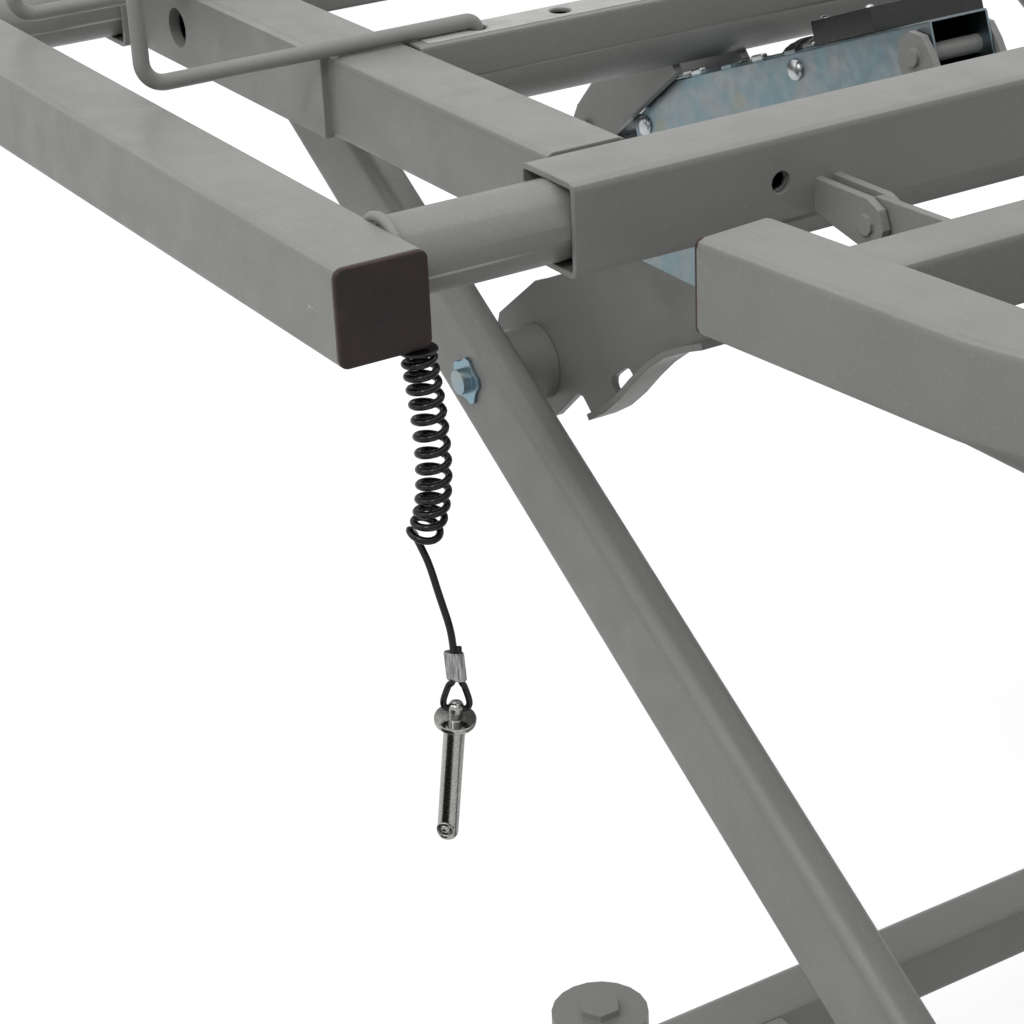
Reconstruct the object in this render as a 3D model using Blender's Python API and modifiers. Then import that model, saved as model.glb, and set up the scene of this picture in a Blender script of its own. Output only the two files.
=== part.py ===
"""Expandable-width electric bed frame: a parallel-arm lift base on casters, a main frame, and a deck
in four sections whose side wings slide out and are locked by pins.

X runs along the bed with the head end at +X, Y across it, Z up. The origin is on the floor at the
centre of the frame. The left side is at -Y. The pose is the one shown: deck flat, arms at 32 degrees,
wings pulled out, one lock pin hanging from its lanyard.
"""

from math import asin, atan2, cos, pi, radians, sin

import bmesh
import bpy
from mathutils import Matrix, Vector

mm = 0.001

# Fits
SEAM = 0.3 * mm                 # air between two pieces that are welded, bolted or seated
PIN_PLAY = 0.4 * mm             # radial play of a hinge pin in its hole
SLIDE_PLAY = 1.0 * mm           # gap between pieces that swing past each other
TUBE_PLAY = 0.4 * mm            # gap around a round tube that slides in a square one

# Deck
DECK_TOP = 745 * mm             # top of the fixed deck tubes above the floor
DECK_HALF = 1030 * mm           # half the length of the deck
RAIL = 50.8 * mm                # square deck tube
RAIL_WALL = 3.2 * mm
RAIL_RADIUS = 5 * mm
SIDE_RAIL_OUT = 370.4 * mm      # outer face of a section's side rail from the centre line
SLIDE_END = 385.9 * mm          # open end of a slide cross tube from the centre line
WING_OUT = 533 * mm             # outer face of a wing rail, wings pulled out
WING_DROP = 5 * mm              # a wing rail lies this much below the deck tubes
WING_TRAVEL = 88.9 * mm         # how far a wing slides in
WING_STEP = 38.1 * mm           # first lock position, counted from fully out
SLIDE_TUBE_WALL = 2.5 * mm
SLIDE_TUBE_IN = 212 * mm        # inner end of the slide tube from the centre line
LOCK_HOLE = 12.4 * mm
LOCK_HOLE_Y = 257.4 * mm
CAP_PLATE = 3 * mm              # visible plate of a plastic end cap
CAP_PLUG = 14 * mm              # plug of the cap inside its tube

# Foot section
FOOT_WING_END = -400 * mm       # capped inner end of the foot wing
FOOT_SLIDE_X = -447.6 * mm      # slide cross tube next to the knee
BAR_X = -706.3 * mm             # first of the two bars that hold the mattress retainer
BAR_END = 130.7 * mm            # second bar from the end of the deck
BAR_WIDTH = 32 * mm
BAR_HEIGHT = 25.4 * mm
BAR_HOLE = 13 * mm
BAR_HOLE_Y = 272 * mm           # outermost retainer hole
BAR_HOLE_STEP = 60 * mm
SIDE_PLATE = 4.5 * mm           # plate welded outside the foot side rail
SIDE_PLATE_END = -713 * mm
SIDE_PLATE_HOLE = 26 * mm
SIDE_PLATE_HOLE_AT = 114 * mm   # hole in the plate from the end of the deck

# Mattress retainer
ROD = 9.5 * mm
ROD_LIFT = 5.2 * mm             # rod centre above the deck top
ROD_OUT_Y = 490 * mm
ROD_RISE = 118 * mm
ROD_BEND = 19 * mm
ROD_HOOK = 7 * mm               # tight bend where the rod turns down into its hole
ROD_FOOT = 21 * mm              # how deep the rod's end stands in the bar

# Knee and hips
KNEE_X = -380 * mm
HIP_X = 20 * mm
KNEE_Z = 703 * mm
BACK_HINGE_X = 250 * mm
BACK_HINGE_Z = 735 * mm
HINGE_PIN = 12 * mm
LUG = 5 * mm                    # thickness of a hinge plate
LUG_Y = 226 * mm                # middle of a hinge's plate pair

# Thigh section: bent rails that lie lower than the deck tubes
THIGH_DROP = 16 * mm
THIGH_START = -359.4 * mm
THIGH_START_Y = 332.7 * mm
THIGH_RUN = (176 * mm, 75 * mm) # lengths of the first and second straight
THIGH_TURN = (radians(5.5), radians(16.0))
THIGH_END = 8 * mm
THIGH_BEND = 60 * mm            # bend radius of the rail's centre line
THIGH_CROSS_X = (-300 * mm, -22 * mm)
THIGH_CROSS = 40 * mm           # square cross tubes of the thigh section

# Seat and back
SEAT_START = 44 * mm
SEAT_END = 240 * mm
BACK_START = 262 * mm
BACK_WING_LEAD = 7 * mm         # the back wing starts this much before the back section

DRAIN = 8 * mm                  # drain hole under each seat side rail

# Main frame
MAIN_OUT = 262.4 * mm           # outer face of the main rails from the centre line
MAIN_WIDTH = 45 * mm
MAIN_HEIGHT = 50 * mm
MAIN_TOP = 675 * mm
MAIN_FOOT = -730 * mm
MAIN_HEAD = 560 * mm
MAIN_WALL = 2.8 * mm
MAIN_CROSS = 40 * mm
MAIN_CROSS_X = (-565 * mm, -180 * mm, 520 * mm)
BRACKET = 5 * mm                # pivot bracket plate
BRACKET_SINK = 1 * mm           # how far the bracket is pressed and welded into the rail's face
LIP = 4 * mm                    # thickness of the lip bent along the bracket's lower edge
LIP_WIDTH = 20 * mm             # from the bracket's inner face
ANCHOR_PLATE = 5 * mm           # plates that hold the actuators' rear pins

# Lift arms
ARM_LENGTH = 800 * mm           # between the two pivots of one arm
ARM_THICK = 25 * mm
ARM_DEPTH = 61 * mm
ARM_RADIUS = 9 * mm
ARM_WALL = 2.8 * mm
ARM_OUT = 318 * mm              # outer face of an arm from the centre line
ARM_TOP = 262 * mm              # foot arm beyond its upper pivot
ARM_TOE = 30 * mm               # arm beyond its lower pivot
FOOT_PIVOT_X = -656.938 * mm    # upper pivot of the foot pair, under the main rails
PIVOT_DROP = 131.065 * mm       # upper pivots below the top of the main rails
BASE_PIVOT_Z = 120 * mm
ARM_PITCH = 850 * mm            # between the foot pair and the head pair
BOSS = 48 * mm                  # boss on the arm's inner side
PIVOT = 16 * mm
PIVOT_SHAFT = 30 * mm           # tube on the upper pivot axis between the brackets
RING = 30 * mm                  # toothed spring ring on the end of a pivot pin
TORQUE_TUBE = 48 * mm
TORQUE_AT = 235 * mm            # torque tube beyond the upper pivot, along the arm
BRACE_AT = 400 * mm             # brace tube below the upper pivot, along the arm
BRACE_TUBE = 38 * mm

# Base and casters
BASE_WIDTH = 40 * mm
BASE_HEIGHT = 60 * mm
BASE_FOOT_LEAD = 498 * mm       # foot cross tube before the foot pair's lower pivot
BASE_HEAD_LEAD = 78.5 * mm      # head cross tube beyond the head pair's lower pivot
BASE_CROSS_WIDTH = 40 * mm
BASE_CROSS_HEIGHT = 38 * mm
BASE_CROSS_Z = 132 * mm
BASE_CROSS_HALF = 345 * mm
SOCKET = 62 * mm
SOCKET_TOP = 155 * mm
SOCKET_BASE = 118 * mm
SOCKET_SINK = 6 * mm            # how far the socket is set into the cross tube
CASTER_BOLT = 27 * mm
SWIVEL_HEAD = 46 * mm
CASTER_Y = 323 * mm
CASTER_TRAIL = 30 * mm
WHEEL = 100 * mm
WHEEL_WIDTH = 32 * mm
YOKE_PLATE = 4 * mm
YOKE_GAP = 2 * mm
AXLE = 10 * mm

# Lift actuator, in the main frame's plane at the centre of the bed
LIFT_EYE = Vector((-960 * mm, 0, 574 * mm))
LIFT_ANCHOR = Vector((-590 * mm, 0, 708 * mm))
CHANNEL = 40 * mm
CHANNEL_WIDTH = 46 * mm
CHANNEL_WALL = 1.5 * mm
CHANNEL_START = 52 * mm         # channel's lower end from the eye
TAB_PITCH = 38 * mm
ACTUATOR_ROD = 20 * mm
ACTUATOR_PIN = 12 * mm
EYE_BORE = 18.5 * mm            # open pivot: the eye is larger than the lever's pin
LEVER_PLATE = 6 * mm
ROD_NUT_AT = 112 * mm           # travelling nut inside the channel, from the eye
MOTOR_BACK = 112 * mm           # lower face of the gearbox from the anchor pin
MOTOR_BLOCK = 64 * mm
MOTOR_SIDE = 48 * mm            # how far the gearbox stands out beside the channel
MOTOR = 46 * mm
MOTOR_LENGTH = 110 * mm

# Back actuator
BACK_ANCHOR = Vector((-138 * mm, 0, 620 * mm))
BACK_SWING = radians(65)        # full travel of the back section
BACK_CLEVIS = 24 * mm           # width of the actuator's root and of the gap in its lever
BACK_TUBE = 44 * mm
BACK_ROD = 18 * mm
BACK_SLOT = 19 * mm             # open pivot: the slot is wider than the rod's pin
BACK_SLOT_LENGTH = 49 * mm
BACK_SLOT_AT = 126 * mm         # middle of the slot from the hinge

# Lock pin and lanyard
PIN_BODY = 11.4 * mm
PIN_LENGTH = 78 * mm
PIN_FLANGE = 22 * mm
CORD = 4.2 * mm
COIL = 19 * mm
FERRULE = 10 * mm
LOOP_WIRE = 2.6 * mm
PIN_NECK = 8.2 * mm
PIN_EYE = 4.4 * mm              # hole through the pin's neck
PIN_EYE_AT = 8.6 * mm           # hole above the pin's flange
# The lanyard as it hangs, from the stud under the wing rail down to the pin: places under HANG
STUD = 5 * mm
HANG = Vector((FOOT_WING_END, 45 * mm - WING_OUT, DECK_TOP))
COIL_TOP = HANG + Vector((-6, 0, -59)) * mm
COIL_LOW = HANG + Vector((-4, 0, -158)) * mm
CORD_ROUTE = [HANG + Vector(p) * mm for p in ((-9, 0, -163), (-5, 0, -176), (2, 0, -189), (8.6, 0, -199),
                                              (11.2, 0, -206), (12, 0, -212))]
FERRULE_LOW = HANG + Vector((14, 0, -231)) * mm
PIN_TIP = HANG + Vector((-6, 0, -334)) * mm
PIN_ALONG = Vector((16, 0, 79)).normalized()

COLORS = {
    "painted_steel": ("#868684", 0.42, 0.25),
    "zinc": ("#9fb0b8", 0.35, 0.9),
    "bright_steel": ("#c9c9c6", 0.22, 1.0),
    "cap_plastic": ("#342c2b", 0.5, 0.0),
    "black_plastic": ("#18181a", 0.45, 0.0),
    "cord_plastic": ("#0d0d0f", 0.3, 0.0),
    "aluminium": ("#b8b8b4", 0.35, 1.0),
    "tyre": ("#5a5a5a", 0.7, 0.0),
}

FORWARD = {                     # local x, y and z of an outline for each way it can be extruded
    "X": Matrix(((0, 0, 1), (1, 0, 0), (0, 1, 0))),
    "Y": Matrix(((0, 1, 0), (0, 0, 1), (1, 0, 0))),
    "Z": Matrix.Identity(3),
    "XZ": Matrix(((1, 0, 0), (0, 0, -1), (0, 1, 0))),
}

# Places that follow from the sizes above
SIDES = ((-1, "left"), (1, "right"))
ENDS = ("foot", "head")
DECK_MID = DECK_TOP - RAIL / 2
WING_MID = DECK_MID - WING_DROP
SIDE_RAIL_Y = SIDE_RAIL_OUT - RAIL / 2
SLIDE_TUBE = RAIL - 2 * RAIL_WALL - 2 * TUBE_PLAY   # round tube that carries a wing
SIDE_RAIL_IN = SIDE_RAIL_OUT - RAIL
WING_Y = WING_OUT - RAIL / 2
END_SLIDE_X = DECK_HALF - RAIL / 2
BACK_WING_START = BACK_START - BACK_WING_LEAD
BAR_XS = (BAR_X, BAR_END - DECK_HALF)
ARM_IN = ARM_OUT - ARM_THICK
ARM_Y = ARM_OUT - ARM_THICK / 2
ARM_ANGLE = asin((MAIN_TOP - PIVOT_DROP - BASE_PIVOT_Z) / ARM_LENGTH)   # 32 degrees at this deck height
ARM_ALONG = Vector((-cos(ARM_ANGLE), 0, sin(ARM_ANGLE)))
ARM_NORMAL = Vector((sin(ARM_ANGLE), 0, cos(ARM_ANGLE)))
FOOT_BASE_PIVOT = Vector((FOOT_PIVOT_X + ARM_LENGTH * cos(ARM_ANGLE), 0, BASE_PIVOT_Z))
HEAD_BASE_PIVOT = FOOT_BASE_PIVOT + Vector((ARM_PITCH, 0, 0))
FOOT_TOP_PIVOT = FOOT_BASE_PIVOT + ARM_LENGTH * ARM_ALONG
HEAD_TOP_PIVOT = HEAD_BASE_PIVOT + ARM_LENGTH * ARM_ALONG
MAIN_Y = MAIN_OUT - MAIN_WIDTH / 2
MAIN_IN = MAIN_OUT - MAIN_WIDTH
MAIN_MID = MAIN_TOP - MAIN_HEIGHT / 2
BRACKET_IN = MAIN_OUT - BRACKET_SINK
BRACKET_OUT = BRACKET_IN + BRACKET
BASE_OUT = BRACKET_OUT
BOSS_IN = BRACKET_OUT + SEAM
BASE_Y = BASE_OUT - BASE_WIDTH / 2
BASE_CROSS_X = (FOOT_BASE_PIVOT.x - BASE_FOOT_LEAD, HEAD_BASE_PIVOT.x + BASE_HEAD_LEAD)
SOCKET_REACH = BASE_CROSS_WIDTH / 2 + SOCKET / 2 - SOCKET_SINK
SOCKET_XS = (BASE_CROSS_X[0] - SOCKET_REACH, BASE_CROSS_X[1] + SOCKET_REACH)
LINK_F = Vector((BAR_X, 0, MAIN_MID + 10 * mm))
LINK_M = LINK_F + Vector((HIP_X - KNEE_X, 0, 0))
LINK_THICK = 6 * mm
LINK_WIDTH = 24 * mm
LINK_PIN = 10 * mm
LINK_Y = BRACKET_OUT + SLIDE_PLAY + LINK_THICK / 2
THIGH_MID = DECK_TOP - THIGH_DROP - RAIL / 2
LIFT_GAP = CHANNEL_WIDTH + 2 * mm + 4 * SLIDE_PLAY
LIFT_LENGTH = (LIFT_ANCHOR - LIFT_EYE).length
BACK_LEVER_ANGLE = -pi / 2 - BACK_SWING / 2
BACK_EYE = Vector((BACK_HINGE_X - (BACK_HINGE_Z - BACK_ANCHOR.z) * sin(BACK_SWING / 2) / cos(BACK_SWING / 2),
                   0, BACK_ANCHOR.z))
BACK_TRAVEL = 2 * (BACK_HINGE_X - BACK_EYE.x)

materials = {}
parts = None
cutters = None


def start_scene():
    """Empty the scene and make the two collections."""
    global parts, cutters
    for obj in list(bpy.data.objects):
        bpy.data.objects.remove(obj, do_unlink=True)
    parts = bpy.data.collections.new("hospital_bed")
    cutters = bpy.data.collections.new("cutters")
    for group in (parts, cutters):
        bpy.context.scene.collection.children.link(group)


def channel_value(code):
    """One sRGB channel of a hex colour as a linear value."""
    value = int(code, 16) / 255
    return value / 12.92 if value <= 0.04045 else ((value + 0.055) / 1.055) ** 2.4


def material(name):
    """The named Principled material, made on first use."""
    if name not in materials:
        code, roughness, metallic = COLORS[name]
        made = bpy.data.materials.new(name)
        made.use_nodes = True
        shader = made.node_tree.nodes["Principled BSDF"]
        rgb = [channel_value(code[i:i + 2]) for i in (1, 3, 5)]
        shader.inputs["Base Color"].default_value = (*rgb, 1)
        shader.inputs["Roughness"].default_value = roughness
        shader.inputs["Metallic"].default_value = metallic
        materials[name] = made
    return materials[name]


def empty(name, place, parent=None):
    """An empty on a joint's axis; the pieces of the moving body hang from it."""
    made = bpy.data.objects.new(name, None)
    parts.objects.link(made)
    made.location = place
    bpy.context.view_layer.update()
    if parent:
        made.parent = parent
        made.matrix_parent_inverse = parent.matrix_world.inverted()
    bpy.context.view_layer.update()
    return made


def hang(obj, parent, finish):
    """Give a piece its material and hang it from its body's empty without moving it."""
    obj.data.materials.clear()
    obj.data.materials.append(material(finish))
    if parent:
        bpy.context.view_layer.update()
        obj.parent = parent
        obj.matrix_parent_inverse = parent.matrix_world.inverted()
    return obj


def curve_to_mesh(curve_object):
    """Turn a curve into a mesh whose caps are welded to its sides."""
    bpy.context.view_layer.update()
    graph = bpy.context.evaluated_depsgraph_get()
    mesh = bpy.data.meshes.new_from_object(curve_object.evaluated_get(graph))
    work = bmesh.new()
    work.from_mesh(mesh)
    bmesh.ops.remove_doubles(work, verts=work.verts, dist=0.00001)
    bmesh.ops.dissolve_degenerate(work, dist=0.000001, edges=work.edges)
    bmesh.ops.recalc_face_normals(work, faces=work.faces)
    work.to_mesh(mesh)
    work.free()
    made = bpy.data.objects.new(curve_object.name, mesh)
    made.matrix_world = curve_object.matrix_world
    name = curve_object.name
    bpy.data.objects.remove(curve_object, do_unlink=True)
    made.name = name
    parts.objects.link(made)
    return made


def smooth(obj, angle=35):
    """Shade the round faces of a mesh smooth and keep its edges."""
    obj.data.shade_smooth()
    obj.data.set_sharp_from_angle(angle=radians(angle))
    return obj


def rounded(width, height, radius, steps=2):
    """Points of a rectangle with round corners about the origin."""
    points = []
    for corner, (sx, sy) in enumerate(((1, 1), (-1, 1), (-1, -1), (1, -1))):
        for step in range(steps + 1):
            turn = (corner + step / steps) * pi / 2
            points.append((sx * (width / 2 - radius) + radius * cos(turn),
                           sy * (height / 2 - radius) + radius * sin(turn)))
    return points


def circle(diameter, steps=20, center=(0, 0)):
    """Points of a circle."""
    return [(center[0] + diameter / 2 * cos(2 * pi * k / steps),
             center[1] + diameter / 2 * sin(2 * pi * k / steps)) for k in range(steps)]


def slot(center, length, width, angle, steps=6):
    """Points of a slotted hole with round ends."""
    points = []
    for end in (0, 1):
        for step in range(steps + 1):
            turn = angle - pi / 2 + end * pi + step * pi / steps
            shift = (length - width) / 2 * (1 - 2 * end)
            points.append((center[0] + shift * cos(angle) + width / 2 * cos(turn),
                           center[1] + shift * sin(angle) + width / 2 * sin(turn)))
    return points


def extrude(name, loops, thickness, way, place, turn=0.0):
    """A flat outline, with holes as further loops, extruded about its plane and placed."""
    data = bpy.data.curves.new(name, "CURVE")
    data.dimensions = "2D"
    data.fill_mode = "BOTH"
    data.extrude = thickness / 2
    for loop in loops:
        spline = data.splines.new("POLY")
        spline.points.add(len(loop) - 1)
        for point, (x, y) in zip(spline.points, loop):
            point.co = (x, y, 0, 1)
        spline.use_cyclic_u = True
    made = bpy.data.objects.new(name, data)
    parts.objects.link(made)
    spin = Matrix.Rotation(turn, 3, "Z")
    made.matrix_world = Matrix.Translation(place) @ (FORWARD[way] @ spin).to_4x4()
    return smooth(curve_to_mesh(made))


def square_tube(name, width, height, wall, radius, start, end, center, way, steps=2):
    """A hollow rectangular tube along X or Y from start to end; center is its other two places.

    For X the width is along Y and center is (y, z); for Y the width is along Z and center is (x, z),
    so that a cross tube is given as its height and its width along the bed.
    """
    loops = [rounded(width, height, radius, steps),
             rounded(width - 2 * wall, height - 2 * wall, max(radius - wall, 0.5 * mm), steps)]
    middle = (start + end) / 2
    place = (middle, center[0], center[1]) if way == "X" else (center[0], middle, center[1])
    return extrude(name, loops, end - start, way, Vector(place))


def round_tube(name, diameter, bore, start, end, center, steps=20):
    """A hollow round tube along Y."""
    loops = [circle(diameter, steps), circle(bore, steps)]
    return extrude(name, loops, end - start, "Y", Vector((center[0], (start + end) / 2, center[1])))


def cylinder(name, diameter, start, end, steps=20, is_cutter=False):
    """A solid cylinder between two points."""
    along = Vector(end) - Vector(start)
    mesh = bpy.data.meshes.new(name)
    work = bmesh.new()
    bmesh.ops.create_cone(work, cap_ends=True, segments=steps, radius1=diameter / 2,
                          radius2=diameter / 2, depth=along.length)
    work.to_mesh(mesh)
    work.free()
    made = bpy.data.objects.new(name, mesh)
    made.matrix_world = (Matrix.Translation((Vector(start) + Vector(end)) / 2)
                         @ along.to_track_quat("Z", "Y").to_matrix().to_4x4())
    if is_cutter:
        cutters.objects.link(made)
        made.hide_render = True
        made.display_type = "WIRE"
        return made
    parts.objects.link(made)
    return smooth(made)


def box(name, low, high):
    """A plain box between two corners."""
    mesh = bpy.data.meshes.new(name)
    work = bmesh.new()
    bmesh.ops.create_cube(work, size=1)
    size = Vector(high) - Vector(low)
    bmesh.ops.scale(work, vec=size, verts=work.verts)
    work.to_mesh(mesh)
    work.free()
    made = bpy.data.objects.new(name, mesh)
    made.location = (Vector(low) + Vector(high)) / 2
    parts.objects.link(made)
    return made


def cut(obj, tool):
    """Take a cutter's shape out of a piece."""
    change = obj.modifiers.new("cut", "BOOLEAN")
    change.operation = "DIFFERENCE"
    change.solver = "EXACT"
    change.object = tool


def bore(obj, diameter, start, end, steps=16):
    """Drill a round hole between two points."""
    cut(obj, cylinder("bore", diameter, start, end, steps, is_cutter=True))


def baked(obj):
    """The mesh of a piece in world space with its modifiers applied."""
    bpy.context.view_layer.update()
    graph = bpy.context.evaluated_depsgraph_get()
    mesh = bpy.data.meshes.new_from_object(obj.evaluated_get(graph))
    mesh.transform(obj.matrix_world)
    return mesh


def finished(name, piece):
    """A piece with its modifiers applied, as one plain mesh under its own name."""
    mesh = baked(piece)
    bpy.data.objects.remove(piece, do_unlink=True)
    mesh.name = name
    made = bpy.data.objects.new(name, mesh)
    parts.objects.link(made)
    return smooth(made)


def weld(name, pieces):
    """Join overlapping solids into one body."""
    first, others = pieces[0], pieces[1:]
    for other in others:
        change = first.modifiers.new("weld", "BOOLEAN")
        change.operation = "UNION"
        change.solver = "EXACT"
        change.object = other
    made = finished(name, first)
    for other in others:
        bpy.data.objects.remove(other, do_unlink=True)
    return made


def sweep(name, points, diameter):
    """A solid round bar along a line of points."""
    data = bpy.data.curves.new(name, "CURVE")
    data.dimensions = "3D"
    data.use_fill_caps = True
    data.bevel_depth = diameter / 2
    data.bevel_resolution = 2
    spline = data.splines.new("POLY")
    spline.points.add(len(points) - 1)
    for point, place in zip(spline.points, points):
        point.co = (*place, 1)
    made = bpy.data.objects.new(name, data)
    parts.objects.link(made)
    return smooth(curve_to_mesh(made), 50)


def filleted(corners, radii, steps=4):
    """A line through corner points with each inner corner rounded by an arc of its own radius."""
    path = [Vector(corners[0])]
    for before, corner, after, radius in zip(corners, corners[1:], corners[2:], radii):
        before, corner, after = Vector(before), Vector(corner), Vector(after)
        enter, leave = (corner - before).normalized(), (after - corner).normalized()
        turn = enter.angle(leave)
        reach = radius * abs(sin(turn / 2) / cos(turn / 2))
        axis = enter.cross(leave).normalized()
        center = corner - reach * enter + radius * axis.cross(enter)
        for step in range(steps + 1):
            spoke = Matrix.Rotation(turn * step / steps, 3, axis) @ (corner - reach * enter - center)
            path.append(center + spoke)
    path.append(Vector(corners[-1]))
    return path


# Base and casters

def through_bolt(pivot, side, inner):
    """Headed pivot bolt lying along Y from outside an arm inward to a place from the centre line."""
    head = cylinder("head", 27 * mm, pivot + Vector((0, side * (ARM_OUT + SEAM), 0)),
                    pivot + Vector((0, side * (ARM_OUT + SEAM + 8 * mm), 0)), 6)
    shank = cylinder("shank", PIVOT, pivot + Vector((0, side * inner, 0)),
                     pivot + Vector((0, side * (ARM_OUT + 4 * mm), 0)), 12)
    return [head, shank]


def base_frame():
    """Two long rails with the arms' lower pivot bolts, and two cross tubes with caster sockets."""
    start = BASE_CROSS_X[0] + BASE_CROSS_WIDTH / 2 + SEAM
    end = BASE_CROSS_X[1] - BASE_CROSS_WIDTH / 2 - SEAM
    for side, word in SIDES:
        pieces = [square_tube("rail", BASE_WIDTH, BASE_HEIGHT, ARM_WALL, RAIL_RADIUS, start, end,
                              (side * BASE_Y, BASE_PIVOT_Z), "X")]
        for pivot in (FOOT_BASE_PIVOT, HEAD_BASE_PIVOT):
            pieces += through_bolt(pivot, side, BASE_OUT - BASE_WIDTH + 1 * mm)
        hang(weld(f"base_rail_{word}", pieces), None, "painted_steel")
    for cross_x, socket_x, word in zip(BASE_CROSS_X, SOCKET_XS, ENDS):
        pieces = [square_tube("cross", BASE_CROSS_HEIGHT, BASE_CROSS_WIDTH, ARM_WALL, RAIL_RADIUS,
                              -BASE_CROSS_HALF, BASE_CROSS_HALF, (cross_x, BASE_CROSS_Z), "Y")]
        for side, _ in SIDES:
            foot = Vector((socket_x, side * CASTER_Y, SOCKET_BASE))
            lid = Vector((socket_x, side * CASTER_Y, SOCKET_TOP))
            pieces.append(cylinder("socket", SOCKET, foot, lid, 20))
            pieces.append(cylinder("bolt", CASTER_BOLT, lid - Vector((0, 0, 1 * mm)),
                                   lid + Vector((0, 0, 5 * mm)), 6))
        hang(weld(f"base_cross_{word}", pieces), None, "painted_steel")


def caster(word, socket_x, side, away):
    """One swivel caster: a pressed yoke under a swivel head, and its wheel."""
    swivel = empty(f"caster_swivel_{word}", (socket_x, side * CASTER_Y, 0))
    top = SOCKET_BASE - SEAM
    crown_top = top - 7 * mm
    crown_low = crown_top - YOKE_PLATE
    axle = Vector((socket_x - away * CASTER_TRAIL, side * CASTER_Y, WHEEL / 2))
    half = WHEEL_WIDTH / 2 + YOKE_GAP + YOKE_PLATE / 2
    pieces = [cylinder("head", SWIVEL_HEAD, (socket_x, side * CASTER_Y, crown_top - 1 * mm),
                       (socket_x, side * CASTER_Y, top), 16)]
    near, far = socket_x + away * 28 * mm, socket_x - away * 37 * mm
    wide = half + YOKE_PLATE / 2 + 0.6 * mm
    pieces.append(box("crown", (min(near, far), side * CASTER_Y - wide, crown_low),
                      (max(near, far), side * CASTER_Y + wide, crown_top)))
    eye = [(-away * CASTER_TRAIL + 13 * mm * cos(t), WHEEL / 2 + 13 * mm * sin(t))
           for t in [radians(-180 + 45 * k) for k in range(5)]]
    right, left = (27 * mm, -36 * mm) if away > 0 else (36 * mm, -27 * mm)
    profile = eye + [(right, crown_low + 1 * mm), (left, crown_low + 1 * mm)]
    for cheek in (-1, 1):
        pieces.append(extrude("cheek", [profile], YOKE_PLATE, "XZ",
                              Vector((socket_x, side * CASTER_Y + cheek * half, 0))))
    pieces.append(cylinder("axle", AXLE, axle - Vector((0, half + 4 * mm, 0)),
                           axle + Vector((0, half + 4 * mm, 0)), 8))
    hang(weld(f"caster_yoke_{word}", pieces), swivel, "zinc")
    spin = empty(f"caster_axle_{word}", axle, swivel)
    hang(turned(f"caster_wheel_{word}", axle, wheel_profile()), spin, "tyre")


def wheel_profile():
    """Half section of a caster wheel: bore, hub face, web and tread with round shoulders."""
    half, bore_r, rim = WHEEL_WIDTH / 2, AXLE / 2 + PIN_PLAY, WHEEL / 2
    near = [(bore_r, half), (14 * mm, half), (16 * mm, half - 6 * mm), (34 * mm, half - 6 * mm),
            (37 * mm, half - 3 * mm), (rim - 4 * mm, half - 3 * mm), (rim, half - 9 * mm)]
    return near + [(radius, -along) for radius, along in reversed(near)]


def turned(name, center, profile, steps=18):
    """A ring turned about a Y axis through center, from points of radius and place along Y."""
    mesh = bpy.data.meshes.new(name)
    work = bmesh.new()
    verts = [work.verts.new((radius, 0, along)) for radius, along in profile]
    for a, b in zip(verts, verts[1:] + verts[:1]):
        work.edges.new((a, b))
    work.to_mesh(mesh)
    work.free()
    made = bpy.data.objects.new(name, mesh)
    parts.objects.link(made)
    made.matrix_world = Matrix.Translation(center) @ FORWARD["Y"].to_4x4()
    screw = made.modifiers.new("turn", "SCREW")
    screw.axis = "Z"
    screw.steps = steps
    screw.render_steps = steps
    screw.use_merge_vertices = True
    screw.merge_threshold = 0.00005
    screw.use_smooth_shade = False
    return made


# Lift arms

def arm(name, side, pivot, top, parent):
    """One lift arm: a rectangular tube with round corners and a boss welded on at each pivot."""
    length = top + ARM_LENGTH + ARM_TOE
    middle = pivot + (top - length / 2) * ARM_ALONG
    loops = [rounded(ARM_DEPTH, ARM_THICK, ARM_RADIUS, 4),
             rounded(ARM_DEPTH - 2 * ARM_WALL, ARM_THICK - 2 * ARM_WALL, ARM_RADIUS - ARM_WALL, 2)]
    tube = extrude("tube", loops, length, "Z", Vector((0, 0, 0)))
    frame = Matrix((-ARM_NORMAL, Vector((0, 1, 0)), ARM_ALONG)).transposed().to_4x4()
    tube.matrix_world = Matrix.Translation(middle + Vector((0, side * ARM_Y, 0))) @ frame
    inner = BOSS_IN
    pieces = [tube]
    places = (pivot, pivot - ARM_LENGTH * ARM_ALONG)
    for place in places:
        pieces.append(cylinder("boss", BOSS, place + Vector((0, side * inner, 0)),
                               place + Vector((0, side * (ARM_IN + 1.2 * mm), 0)), 20))
    made = weld(name, pieces)
    for place in places:
        bore(made, PIVOT + 2 * PIN_PLAY, place + Vector((0, side * (inner - 5 * mm), 0)),
             place + Vector((0, side * (ARM_OUT + 5 * mm), 0)), 12)
    return hang(made, parent, "painted_steel")


def arm_tube(name, place, diameter):
    """A round tube between the two arms of a pair."""
    half = ARM_IN - SEAM
    return round_tube(name, diameter, diameter - 6 * mm, -half, half, (place.x, place.z), 24)


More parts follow.
